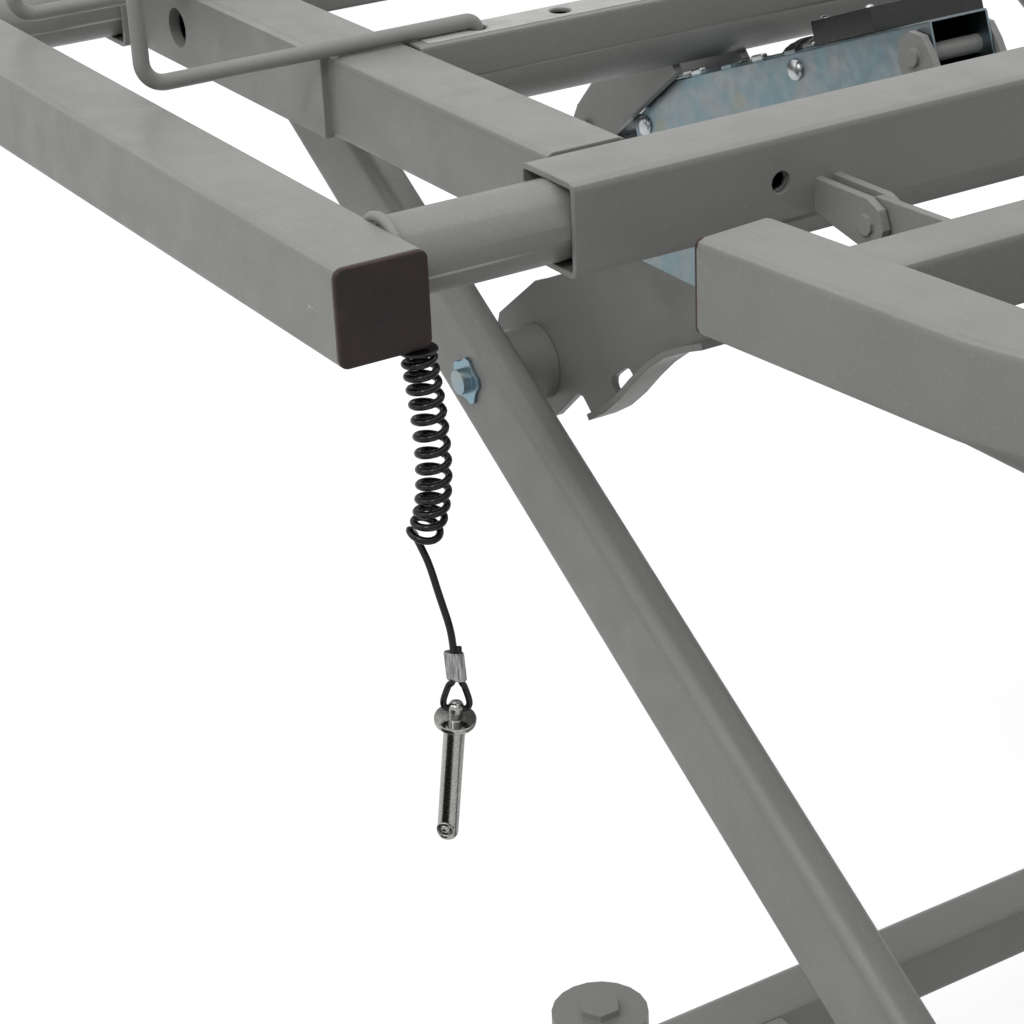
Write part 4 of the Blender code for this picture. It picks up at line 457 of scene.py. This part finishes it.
POLYURETHANE = moulded("polyurethane_cord_black", "#0d0d0e", "#080809", 0.10, 2.4 * mm, 0.04 * mm, 1.5, 0.30)
# The caps' redder rim is painted light shining through their thin edges.
POLYETHYLENE = moulded("polyethylene_cap_brown", "#322927", "#272322", 0.42, 0.9 * mm, 0.05 * mm, 1.51, 0.3,
                       rim="#6b3a33")
NYLON = moulded("glass_filled_nylon_black", "#161718", "#101112", 0.22, 1.1 * mm, 0.04 * mm, 1.53, 0.4)
TYRE = moulded("thermoplastic_rubber_grey", "#4c4d4f", "#434446", 0.55, 1.0 * mm, 0.06 * mm, 1.5)
HUB = moulded("polyamide_hub_grey", "#8b8c8c", "#7f8080", 0.40, 1.0 * mm, 0.04 * mm, 1.53)
FILM = moulded("polyester_film_matt", "#b2b2af", "#a5a5a2", 0.55, 6.0 * mm, 0.05 * mm, 1.58)
print("plastics:", [m.name for m in (POLYURETHANE, POLYETHYLENE, NYLON, TYRE, HUB, FILM)])

# %% [markdown]
# The CAD nodes arrive as loose flat triangles. Their shape stays as it is: a small modifier joins the
# triangles only for shading, marks every edge sharper than 32 degrees and shades the rest smooth, and
# Weighted Normal keeps flat faces flat beside their rounded corners. Merging the mesh itself would do
# the same, but a modifier leaves the model's own data untouched.

# %% Shade the CAD nodes and give them their finish
shading = bpy.data.node_groups.new("shade_by_angle", "GeometryNodeTree")
shading.interface.new_socket("Geometry", in_out="INPUT", socket_type="NodeSocketGeometry")
shading.interface.new_socket("Geometry", in_out="OUTPUT", socket_type="NodeSocketGeometry")
entry = add(shading, "NodeGroupInput")
plain = add(shading, "GeometryNodeRemoveAttribute", {"Name": "custom_normal"}, [(entry.outputs[0], 0)])
joined = add(shading, "GeometryNodeMergeByDistance", {"Distance": 0.02 * mm}, [(plain.outputs[0], 0)])
edge_angle = add(shading, "GeometryNodeInputMeshEdgeAngle")
sharp = add(shading, "FunctionNodeCompare", {"operation": "GREATER_THAN", 1: float(np.radians(32))},
            [(edge_angle.outputs["Unsigned Angle"], 0)])
smooth_faces = add(shading, "GeometryNodeSetShadeSmooth", {"domain": "FACE", "Shade Smooth": True},
                   [(joined.outputs[0], "Geometry")])
marked = add(shading, "GeometryNodeSetShadeSmooth", {"domain": "EDGE", "Shade Smooth": False},
             [(smooth_faces.outputs[0], "Geometry"), (sharp.outputs[0], "Selection")])
add(shading, "NodeGroupOutput", {}, [(marked.outputs[0], 0)])

FINISHES = {"painted_steel": GREY_COAT, "zinc": ZINC, "bright_steel": BRIGHT_STEEL,
            "cap_plastic": POLYETHYLENE, "black_plastic": NYLON, "cord_plastic": POLYURETHANE,
            "aluminium": ALUMINIUM, "tyre": TYRE}
OTHER = {"foot_wing_left": RUBBED_COAT, "foot_wing_right": RUBBED_COAT, "back_wing_left": RUBBED_COAT,
         "back_wing_right": RUBBED_COAT, "foot_pivot_shaft": BLUE_ZINC, "head_pivot_shaft": BLUE_ZINC}
for name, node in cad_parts.items():
    slot = node.data.materials[0].name.split(".")[0]
    finish = OTHER.get(name) or FINISHES[slot]
    for k in range(len(node.data.materials)):
        node.data.materials[k] = finish
    node.modifiers.new("shade_by_angle", "NODES").node_group = shading
    node.modifiers.new("flat_faces", "WEIGHTED_NORMAL").keep_sharp = True
print("finished", len(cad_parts), "CAD nodes")

# %% [markdown]
# The lanyard keeps the lock pin with its wing. It is a polyurethane cord of 4 mm, wound on a mandrel
# into a coil of 19 mm, so it springs back after use. It hangs free from a stud under the wing rail:
# thirteen turns, a little stretched by the pin's weight and bowed to one side, with the last ones
# tipped, and then it runs down straight into a crimped ferrule. A curve object with a screw modifier
# gives even turns only. So the route is a right-handed helix of numpy points, whose pitch, bow and tip
# can change along it, followed by the points that the CAD cord has, read again at an even pitch.

# %% The coiled cord
HANG = np.array([-400, -488, 745]) * mm      # a point of the wing rail's end, from which the lanyard is placed
COIL_TOP = HANG + np.array([-6, 0, -59]) * mm
CORD = 3.9 * mm
COIL_RADIUS = 7.5 * mm
TURNS, TIPPED = 13, 2.4                      # all turns, and the last ones that tip over
COIL_START = 687.0 * mm                      # height of the first turn
COIL_DROP = 99.0 * mm
TO_RIGHT = np.arctan2(ASIDE.y, ASIDE.x)      # direction, seen from above, of the picture's right


def coil_points():
    """Centre line of the coil, for u from 0 to TURNS: middle(u) + radius (cos a, sin a), a falling with u.

    The middle hangs down from the stud and bows to the picture's right by a sine, then back to its left
    at the end. Its height falls slowly at both ends and faster between, where the cord is stretched
    most. Over the last turns the right side of each turn tips down and the turns draw in a little.
    """
    u = np.linspace(0, TURNS, TURNS * 32 + 1)
    part = u / TURNS
    a = np.radians(-122) + 2 * np.pi * (TURNS - u)
    bow = (4.3 * np.sin(np.pi * part ** 1.25) - 2.9 * part ** 8) * mm
    tip = np.clip((u - (TURNS - TIPPED)) / TIPPED, 0, 1) ** 1.5
    radius = COIL_RADIUS * (1 - 0.10 * tip)
    height = COIL_START - COIL_DROP * (part - 0.028 * np.sin(2 * np.pi * part))
    points = np.empty((len(u), 3))
    points[:, 0] = COIL_TOP[0] + radius * np.cos(a) + bow * np.cos(TO_RIGHT)
    points[:, 1] = COIL_TOP[1] + radius * np.sin(a) + bow * np.sin(TO_RIGHT)
    points[:, 2] = height - 3.6 * mm * tip * np.cos(a - TO_RIGHT + 0.5)
    return points


def through(points, pitch):
    """A smooth curve through points, read at an even pitch: cubic pieces whose slopes are the chords'."""
    points = np.asarray(points, dtype=float)
    slope = np.gradient(points, axis=0)
    t = np.linspace(0, 1, 12, endpoint=False)[None, :, None]
    a, b, da, db = points[:-1, None], points[1:, None], slope[:-1, None], slope[1:, None]
    dense = ((2 * t**3 - 3 * t**2 + 1) * a + (t**3 - 2 * t**2 + t) * da
             + (-2 * t**3 + 3 * t**2) * b + (t**3 - t**2) * db).reshape(-1, 3)
    dense = np.concatenate([dense, points[-1:]])
    run = np.concatenate([[0.0], np.cumsum(np.linalg.norm(np.diff(dense, axis=0), axis=1))])
    even = np.linspace(0, run[-1], int(run[-1] / pitch) + 2)
    return np.stack([np.interp(even, run, dense[:, k]) for k in range(3)], 1)


coil = coil_points()
low_end = (coil[-1] - HANG) / mm
tail = HANG + np.array([low_end + (-1.9, 2.2, -2.2), low_end + (-2.6, 4.3, -5.4), (-10.2, -1.4, -168.4),
                        (-8.0, -0.5, -173), (-5.2, 0, -178.6), (-2, 0, -184), (1.2, 0, -189.2),
                        (4.6, 0, -194.4), (7.6, 0, -199), (9.8, 0, -203.4), (11.2, 0, -208),
                        (12, 0, -213), (12.2, 0, -216)]) * mm
cord_path = through(np.concatenate([coil[::2], tail]), 1.4 * mm)
lanyard = piece("lanyard", [skin(tube(cord_path, CORD / 2, 14))], "foot_wing_left", POLYURETHANE,
                replaces=("lanyard_coil", "lanyard_cord"))

# %% [markdown]
# At its low end the cord is doubled back through the pin's eye, and an aluminium ferrule is crimped
# over both strands. The crimp leaves shallow grooves along the sleeve, and the cut end of the cord
# sticks out beside the standing part. The sleeve could be a bevelled cylinder, but then the grooves
# would have to be cut; as a formula they are one factor on its radius. Seen from the camera the loop
# lies open, so its plane holds the pin's axis and the direction to the picture's right.

# %% Ferrule and loop
PIN_TIP = HANG + np.array([-6, 0, -334]) * mm
PIN_ALONG = unit([16, 0, 79])
SIDEWAYS = unit(np.array(ASIDE) - np.dot(ASIDE, PIN_ALONG) * PIN_ALONG)
PIN_EYE = PIN_TIP + 86.6 * mm * PIN_ALONG
FERRULE_LOW = HANG + np.array([14, 0, -231]) * mm
FERRULE_TOP = HANG + np.array([12.2, 0, -215.6]) * mm
SLEEVE = unit(FERRULE_TOP - FERRULE_LOW)
FRONT = np.cross(SIDEWAYS, SLEEVE)


def oval_sleeve():
    """Rings of the ferrule: an oval 10.6 by 6.4 mm with a groove where cos 5a is near 1, drawn in at both ends."""
    s = np.linspace(0, 1, 40)[:, None]
    a = np.linspace(0, 2 * np.pi, 72, endpoint=False)[None]
    crimp = 1 - 0.13 * np.clip(np.cos(5 * a), 0, 1) ** 7 * np.clip(np.sin(np.pi * s) * 1.6, 0, 1)
    lip = 1 - 0.10 * (np.clip(1 - s * 12, 0, 1) ** 2 + np.clip(1 - (1 - s) * 12, 0, 1) ** 2)
    width, depth = 5.3 * mm * crimp * lip * np.cos(a), 3.2 * mm * crimp * lip * np.sin(a)
    axis = FERRULE_LOW + s[..., None] * (FERRULE_TOP - FERRULE_LOW)
    return axis + width[..., None] * SIDEWAYS + depth[..., None] * FRONT


def loop_path():
    """The doubled cord: out of the ferrule, round through the pin's eye and back, as one smooth curve."""
    w, v = SIDEWAYS * mm, PIN_ALONG * mm
    low, high = FERRULE_LOW, FERRULE_TOP
    return through([high - 2.1 * w + 0.2 * (low - high), low - 2.1 * w, low - 4.1 * w - 4.2 * v,
                    PIN_EYE - 6.6 * w + 5.2 * v, PIN_EYE - 5.6 * w + 0.9 * v, PIN_EYE - 2.0 * w,
                    PIN_EYE + 2.0 * w, PIN_EYE + 5.6 * w + 0.9 * v, PIN_EYE + 6.6 * w + 5.2 * v,
                    low + 4.1 * w - 4.2 * v, low + 2.1 * w, high + 2.1 * w + 0.2 * (low - high)], 0.7 * mm)


ferrule = piece("lanyard_sleeve", [skin(oval_sleeve())], "foot_wing_left", ALUMINIUM,
                replaces=("lanyard_ferrule",))
cut_end = np.linspace(FERRULE_TOP + 2.2 * mm * SIDEWAYS - 3 * mm * SLEEVE,
                      FERRULE_TOP + 2.7 * mm * SIDEWAYS + 2.8 * mm * SLEEVE, 8)
loop = piece("lanyard_loop", [skin(tube(loop_path(), 1.75 * mm, 14, tuple(FRONT))),
                              skin(tube(cut_end, 1.8 * mm, 14, tuple(FRONT)))],
             "foot_wing_left", POLYURETHANE, replaces=("lanyard_ferrule",))

# %% [markdown]
# The lock pin is turned from one bar: a chamfered shank, a flange to push on, and a short neck with a
# domed top and a hole across it for the cord. A spring ball sits in a staked ring near the tip, and
# clicks behind the slide tube's wall. A Screw modifier could turn a profile too, but only about its
# object's own axis, and this object stays at the origin. So the turned body is a profile of radius and
# height about the pin's axis; the hole is cut through it with a Boolean, which is applied at once.

# %% The lock pin
pin_profile = np.array([(0.6, 0), (3.9, 0), (4.9, 0.5), (5.5, 1.6), (5.7, 2.6), (5.7, 5), (5.7, 30), (5.7, 55),
                        (5.7, 76.6), (5.4, 77.2), (5.4, 78), (10.4, 78), (10.8, 78.2), (11, 78.7), (11, 80.5),
                        (10.8, 81), (10.4, 81.2), (4.8, 81.2), (4.3, 81.5), (4.1, 82), (4.1, 88), (3.9, 89.3),
                        (3.3, 90.3), (2.2, 90.8), (0.5, 91)]) * mm
shank = piece("lock_pin", [skin(turned(pin_profile, PIN_TIP, PIN_ALONG, 56))], "foot_wing_left", NICKEL,
              replaces=("lock_pin_left",), angle=28)
drill_spots, drill_faces, _ = skin(turned(np.array([(2.1, -9), (2.1, 9)]) * mm, PIN_EYE, SIDEWAYS, 28))
drill_mesh = bpy.data.meshes.new("drill")
drill_mesh.from_pydata(drill_spots.tolist(), [], drill_faces)
drill = bpy.data.objects.new("drill", drill_mesh)
bpy.context.scene.collection.objects.link(drill)
cut = shank.modifiers.new("eye", "BOOLEAN")
cut.object, cut.operation, cut.solver = drill, "DIFFERENCE", "EXACT"
bored = bpy.data.meshes.new_from_object(shank.evaluated_get(bpy.context.evaluated_depsgraph_get()))
shank.modifiers.clear()
shank.data = bored
bored.set_sharp_from_angle(angle=np.radians(28))
shank.modifiers.new("flat_faces", "WEIGHTED_NORMAL").keep_sharp = True
bpy.data.objects.remove(drill)

ball_faces = unit(-np.array(LOOK) + np.dot(LOOK, PIN_ALONG) * PIN_ALONG) - 0.24 * np.array(ASIDE)
ball_faces = unit(ball_faces - np.dot(ball_faces, PIN_ALONG) * PIN_ALONG)
ball_at = PIN_TIP + 8.2 * mm * PIN_ALONG
t = np.radians(np.linspace(0, 88, 14))
ball = np.stack([3.3 * np.cos(t), 3.4 + 3.3 * np.sin(t)], 1) * mm
staked_ring = np.array([(4.7, 1.0), (4.7, 5.7), (4.6, 6.0), (4.35, 6.2), (4.0, 6.2), (3.8, 6.0), (3.7, 5.6),
                        (3.7, 4.2)]) * mm
piece("lock_pin_ball", [skin(turned(ball, ball_at, ball_faces, 28)),
                        skin(turned(staked_ring, ball_at, ball_faces, 36))],
      "foot_wing_left", NICKEL)
stud_profile = np.array([(0.5, 0), (6, 0.1), (9, 0.4), (10, 1.2), (10, 2.4), (9.4, 2.9), (0.5, 2.9)]) * mm
piece("lanyard_stud", [skin(turned(stud_profile, COIL_TOP + np.array([0, 0, 0.1 * mm]), (0, 0, 1), 40))],
      "foot_wing_left", POLYURETHANE)

# %% [markdown]
# The bails that keep the mattress in place are one painted rod each, bent five times and dropped into
# holes of the two cross bars. The CAD's rods have few facets, which a smooth shade can't hide at their
# outline, so they are made again with 24 sides. The centre line is the CAD's: straight runs joined by
# arcs. With h half the angle between two runs, an arc starts radius / tan h before the corner, and its
# points turn evenly from one run's direction to the other's.

# %% Smooth bails
def bent(corners, radii, steps=14):
    """Straight runs with arcs of given radii at the inner corners, as an array of points."""
    corners = np.asarray(corners, dtype=float)
    points = [corners[:1]]
    for before, corner, after, radius in zip(corners, corners[1:], corners[2:], radii):
        a, b = unit(before - corner), unit(after - corner)
        half = np.arccos(np.clip(np.dot(a, b), -1, 1)) / 2
        centre = corner + unit(a + b) * radius / np.sin(half)
        start = corner + a * radius / np.tan(half)
        side, turn = unit(start - centre), np.linspace(0, np.pi - 2 * half, steps)[:, None]
        points.append(centre + radius * (np.cos(turn) * side + np.sin(turn) * -a))
    return np.concatenate(points + [corners[-1:]])


BARS = (-706.3 * mm, -899.3 * mm)                       # places along X of the two cross bars
ROD, HOLE_Y, HOOP_Y = 9.5 * mm, 272 * mm, 490 * mm      # the rod's thickness, and where it turns down and up
for side, word in ((-1, "left"), (1, "right")):
    corners = []
    for x, order in ((BARS[0], 1), (BARS[1], -1)):
        leg = [(x, side * HOLE_Y, 724 * mm), (x, side * HOLE_Y, 750.2 * mm),
               (x, side * HOOP_Y, 750.2 * mm), (x, side * HOOP_Y, 868.2 * mm)]
        corners += leg[::order]
    rod_line = bent(corners, np.array([7, 14, 19, 19, 14, 7]) * mm)
    piece(f"bail_{word}", [skin(tube(rod_line, ROD / 2, 24, (0.58, 0.57, 0.59)))],
          f"mattress_retainer_{word}", GREY_COAT, replaces=(f"mattress_retainer_{word}",))

# %% [markdown]
# A plastic cap closes the inner end of each foot wing, and another the knee end of each thigh rail.
# A cube with a Bevel modifier comes close, but its face would be dead flat. Each cap here is a loft:
# the tube's own outline at the root, then the same outline drawn in by a quarter circle for the rounded
# edge, and a face that domes by half a millimetre.

# %% End caps
def cap(centre, ahead, size, thick):
    """Rings of a cap: a rounded edge of radius e, at heights thick - e + e sin t drawn in by e - e cos t."""
    ahead = unit(ahead)
    aside = unit(np.cross((0, 0, 1), ahead))
    edge, t = 1.3 * mm, np.radians(np.linspace(0, 90, 7))
    heights = [0, *(thick - edge + edge * np.sin(t)), thick + 0.15 * mm, thick + 0.35 * mm, thick + 0.45 * mm]
    insets = [0, *(edge * (1 - np.cos(t))), 6 * mm, 14 * mm, 21 * mm]
    rings = []
    for height, inset in zip(heights, insets):
        flat = rounded(size - 2 * inset, size - 2 * inset, max(CORNER - inset, 1 * mm))
        rings.append(np.asarray(centre) + height * ahead + flat[:, :1] * aside + flat[:, 1:] * np.array([0, 0, 1.0]))
    return np.array(rings)


TOE_OUT = np.radians(5.5)                    # the thigh rails' ends point a little outwards
for side, word in ((-1, "left"), (1, "right")):
    wing_end, thigh_end = (-403 * mm, side * 507.6 * mm, 714.6 * mm), (-359.2 * mm, side * 332.7 * mm, 703.6 * mm)
    piece(f"wing_cap_{word}", [skin(cap(wing_end, (1, 0, 0), RAIL, 2.5 * mm))],
          f"foot_wing_{word}", POLYETHYLENE, replaces=(f"foot_wing_cap_{word}",))
    piece(f"thigh_cap_{word}", [skin(cap(thigh_end, (-np.cos(TOE_OUT), side * np.sin(TOE_OUT), 0), RAIL, 2.2 * mm))],
          "thigh_section", POLYETHYLENE)

# %% [markdown]
# A strip of pale matt film lies on top of each bar that takes the bails, punched round the holes. It is
# bare. A plane with Booleans would leave long thin triangles, so round each hole the strip is a patch
# between a circle and a square: the square's point at an angle is (cos a, sin a) divided by the larger
# of the two. Solidify gives it its 0.2 mm.

# %% Film strips
def punched(x, holes, half, hole, low, high, z):
    """Patches round the holes, and plain patches between them, of a strip along Y."""
    a = np.linspace(0, 2 * np.pi, 48, endpoint=False)
    ways = np.stack([np.cos(a), np.sin(a)], 1)
    skins, cuts = [], [low]
    for y in sorted(holes):
        s = np.linspace(0, 1, 4)[:, None, None]
        flat = (1 - s) * hole * ways + s * half * ways / np.abs(ways).max(1, keepdims=True)
        rings = np.concatenate([np.array([x, y]) + flat, np.full(flat.shape[:2] + (1,), z)], 2)
        spots, faces, runs = skin(rings, ends=False)
        skins.append((spots, [corners[::-1] for corners in faces], runs))
        cuts += [y - half, y + half]
    cuts.append(high)
    for a, b in zip(cuts[::2], cuts[1::2]):
        grid = np.array([(x - half, a, z), (x + half, a, z), (x + half, b, z), (x - half, b, z)])
        skins.append((grid, [[0, 1, 2, 3]], np.zeros(4)))
    return skins


HOLES = [side * y * mm for side in (-1, 1) for y in (152, 212, 272)]
STRIP_HALF, STRIP_HOLE, STRIP_END, STRIP_TOP = 12.6 * mm, 7.3 * mm, 312 * mm, 745.3 * mm
for x, word in zip(BARS, ("knee", "foot")):
    piece(f"film_strip_{word}", punched(x, HOLES, STRIP_HALF, STRIP_HOLE, -STRIP_END, STRIP_END, STRIP_TOP),
          "foot_section", FILM, thick=0.22 * mm)

# %% [markdown]
# The tubes are joined by MIG welds. A bead is a worm of overlapping ripples, 2.2 mm apart, painted over
# with the frame. A bump on the tubes would leave their joints as sharp as cut card, so a bead here is a
# tube on the joint's line whose radius swells with each ripple. Where the joint goes all the way round,
# it starts and ends on the underside.

# %% Weld beads
def bead(path, radius=2.3 * mm):
    """Rings of a weld bead: a tube on a joint's line, whose radius is r (1 + 0.10 |sin(pi s / 2.2 mm)|)."""
    path = through(path, 0.55 * mm)
    run = np.arange(len(path)) * 0.55 * mm
    ripple = 1 + 0.10 * np.abs(np.sin(np.pi * run / (2.2 * mm)))
    return tube(path, radius * ripple, 8, (0.31, 0.52, 0.79))


SLIDE_OUT = 22.2 * mm        # a little more than the slide tube's radius
DECK_MID = 719.6 * mm        # height of the middle of the deck's tubes


def around_slide(x, y, steps=40):
    """The joint of a slide tube with a wing rail: a circle about the tube, from its underside round to it."""
    a = np.radians(np.linspace(-90, 270, steps))
    return np.stack([x + SLIDE_OUT * np.cos(a), np.full(steps, y), DECK_MID + SLIDE_OUT * np.sin(a)], 1)


def three_sides(x, y, z, width, height):
    """The joint of a square tube's end along X: down one side, under it and up the other."""
    w, h = width / 2, height / 2
    corners = [(x, y - w, z + h - CORNER), (x, y - w, z - h), (x, y + w, z - h), (x, y + w, z + h - CORNER)]
    return bent(corners, (CORNER, CORNER), 8)


for side, word in ((-1, "left"), (1, "right")):
    for name, places in SLIDE_XS.items():
        piece(f"{name}_wing_welds_{word}", [skin(bead(around_slide(x, side * 481.6 * mm), 2.8 * mm)) for x in places],
              f"{name}_wing_{word}", GREY_COAT, angle=60)
joints = [three_sides(x * mm, side * 345 * mm, DECK_MID, 51 * mm, 51 * mm)
          for side in (-1, 1) for x in (-473.2, -979.0)]
piece("foot_section_welds", [skin(bead(line)) for line in joints], "foot_section", GREY_COAT,
      angle=60)

# %% [markdown]
# The lift drive's zinc channel has folded tabs along its upper edges, and domed rivets at its low end.
# The tabs are small rounded blocks, set on every second tab of the CAD channel. They could be modelled
# flat on the ground and turned with the drive, but a finished piece's object stays unturned. So all of
# them are worked out in the drive's own frame, which starts at the rod's eye and runs along the channel.

# %% Tabs and rivets of the lift drive
LIFT_EYE, LIFT_ANCHOR = np.array([-960, 0, 574]) * mm, np.array([-590, 0, 708]) * mm
ACROSS = np.array([0, 1.0, 0])
DRIVE_X = unit(LIFT_ANCHOR - LIFT_EYE)
DRIVE_Z = np.cross(DRIVE_X, ACROSS)


def in_drive(x, y, z):
    """A place in the drive's frame, from millimetres: eye + x along + y across + z upwards from the channel."""
    return LIFT_EYE + (x * DRIVE_X + y * ACROSS + z * DRIVE_Z) * mm


def block(centre, length, width, height, edge):
    """A block along the drive with rounded edges: outlines drawn in by a quarter circle at both ends."""
    t = np.radians(np.linspace(0, 90, 5))
    inset = np.concatenate([edge * (1 - np.sin(t)), edge * (1 - np.sin(t[::-1]))])
    place = np.concatenate([-length / 2 + edge * (1 - np.cos(t)), length / 2 - edge * (1 - np.cos(t[::-1]))])
    rings = []
    for p, i in zip(place, inset):
        flat = rounded(width - 2 * i, height - 2 * i, edge + 0.1 * mm - i * 0.5)
        rings.append(centre + p * DRIVE_X + flat[:, :1] * ACROSS + flat[:, 1:] * np.cross(DRIVE_X, ACROSS))
    return np.array(rings)


tabs = [skin(block(in_drive(70 + 76 * k, side * 21.6, 21.4), 13 * mm, 5.2 * mm, 4.2 * mm, 1.2 * mm))
        for k in range(3) for side in (-1, 1)]
dome = np.array([(7.5, 0), (7.5, 0.8), (7.2, 1.8), (6.2, 3.0), (4.4, 4.0), (2.2, 4.6), (0.3, 4.8)]) * mm
rivets = [skin(turned(dome, in_drive(x, side * 23, z), (0, side, 0), 28))
          for side in (-1, 1) for x, z in ((66, 8), (66, -8), (262, 8))]
piece("channel_tabs", tabs, "lift_actuator", BRIGHT_STEEL)
piece("channel_rivets", rivets, "lift_actuator", BRIGHT_STEEL)

# %% [markdown]
# The motor is a can with ribs moulded round it and a bell at its free end. Each rib could be a torus,
# of which only the outer half would show. A turned profile about the motor's axis gives just that half,
# and it swells by a raised cosine.

# %% Motor ribs and bell
MOTOR_Y, MOTOR_Z, MOTOR_TOP = 48.3, 4, 284.5            # the motor's axis and top in the drive's frame, in mm
GEARBOX_START, GEARBOX_TOP = 281.5, 36.3
ribs = []
for k in range(9):
    t = np.linspace(-1, 1, 7)
    rib = np.stack([(22.9 + 1.1 * np.cos(np.pi * t / 2)) * mm, (k * 9 + 14 + 1.6 * t) * mm], 1)
    ribs.append(skin(turned(rib, in_drive(MOTOR_TOP, MOTOR_Y, MOTOR_Z), -DRIVE_X, 48)))
bell = np.array([(23.9, 96), (24.2, 96.6), (24.2, 105), (23.6, 107.6), (21.4, 109.4), (17, 110.4), (9, 110.9),
                 (8.6, 111.5), (6, 111.8), (0.4, 111.8)]) * mm
ribs.append(skin(turned(bell, in_drive(MOTOR_TOP, MOTOR_Y, MOTOR_Z), -DRIVE_X, 48)))
piece("motor_ribs_and_bell", ribs, "lift_actuator", NYLON)
screws = [skin(turned(dome * 0.45, in_drive(GEARBOX_START + x, y, GEARBOX_TOP), DRIVE_Z, 20))
          for x in (8, 56) for y in (-12, 64)]
piece("gearbox_screws", screws, "lift_actuator", BRIGHT_STEEL)

# %% [markdown]
# The casters' wheels have a grey hub with six ribs between its rim and its boss. An array of ribs round
# a disc would need six joints made clean by hand. As the hub's face is a turned skin, its height can
# follow a power of a cosine around it instead.

# %% Wheel hubs
def hub_face(centre, side):
    """Rings of one hub face from boss to rim: its height is base + rib max(0, cos 6a) ** 4 between the two."""
    radius = np.array([6.2, 8, 12.4, 13.6, 15.2, 20, 26, 31, 33.2, 34.6, 36.2, 36.8]) * mm
    base = np.array([16.2, 16.6, 16.6, 15.6, 10.8, 10.6, 10.6, 10.8, 12.6, 13.4, 13.4, 12.6]) * mm
    between = np.clip(1 - np.abs(radius - 23 * mm) / (11 * mm), 0, 1) ** 0.3
    a = np.linspace(0, 2 * np.pi, 96, endpoint=False)[None]
    rib = 3.2 * mm * between[:, None] * np.clip(np.cos(6 * a), 0, 1) ** 4
    out = base[:, None] + rib
    x, z = radius[:, None] * np.cos(a), radius[:, None] * np.sin(a)
    rings = np.stack([x, side * out, z], 2) + centre
    return rings[::-1] if side > 0 else rings


WHEEL_Y, WHEEL_Z = 323 * mm, 50 * mm
for end, axle_x in (("foot", -491.5 * mm), ("head", 965.0 * mm)):
    for side, word in ((-1, "left"), (1, "right")):
        centre = np.array([axle_x, side * WHEEL_Y, WHEEL_Z])
        piece(f"wheel_hub_{end}_{word}", [skin(hub_face(centre, way), ends=False) for way in (-1, 1)],
              f"caster_{end}_{word}_wheel", HUB)
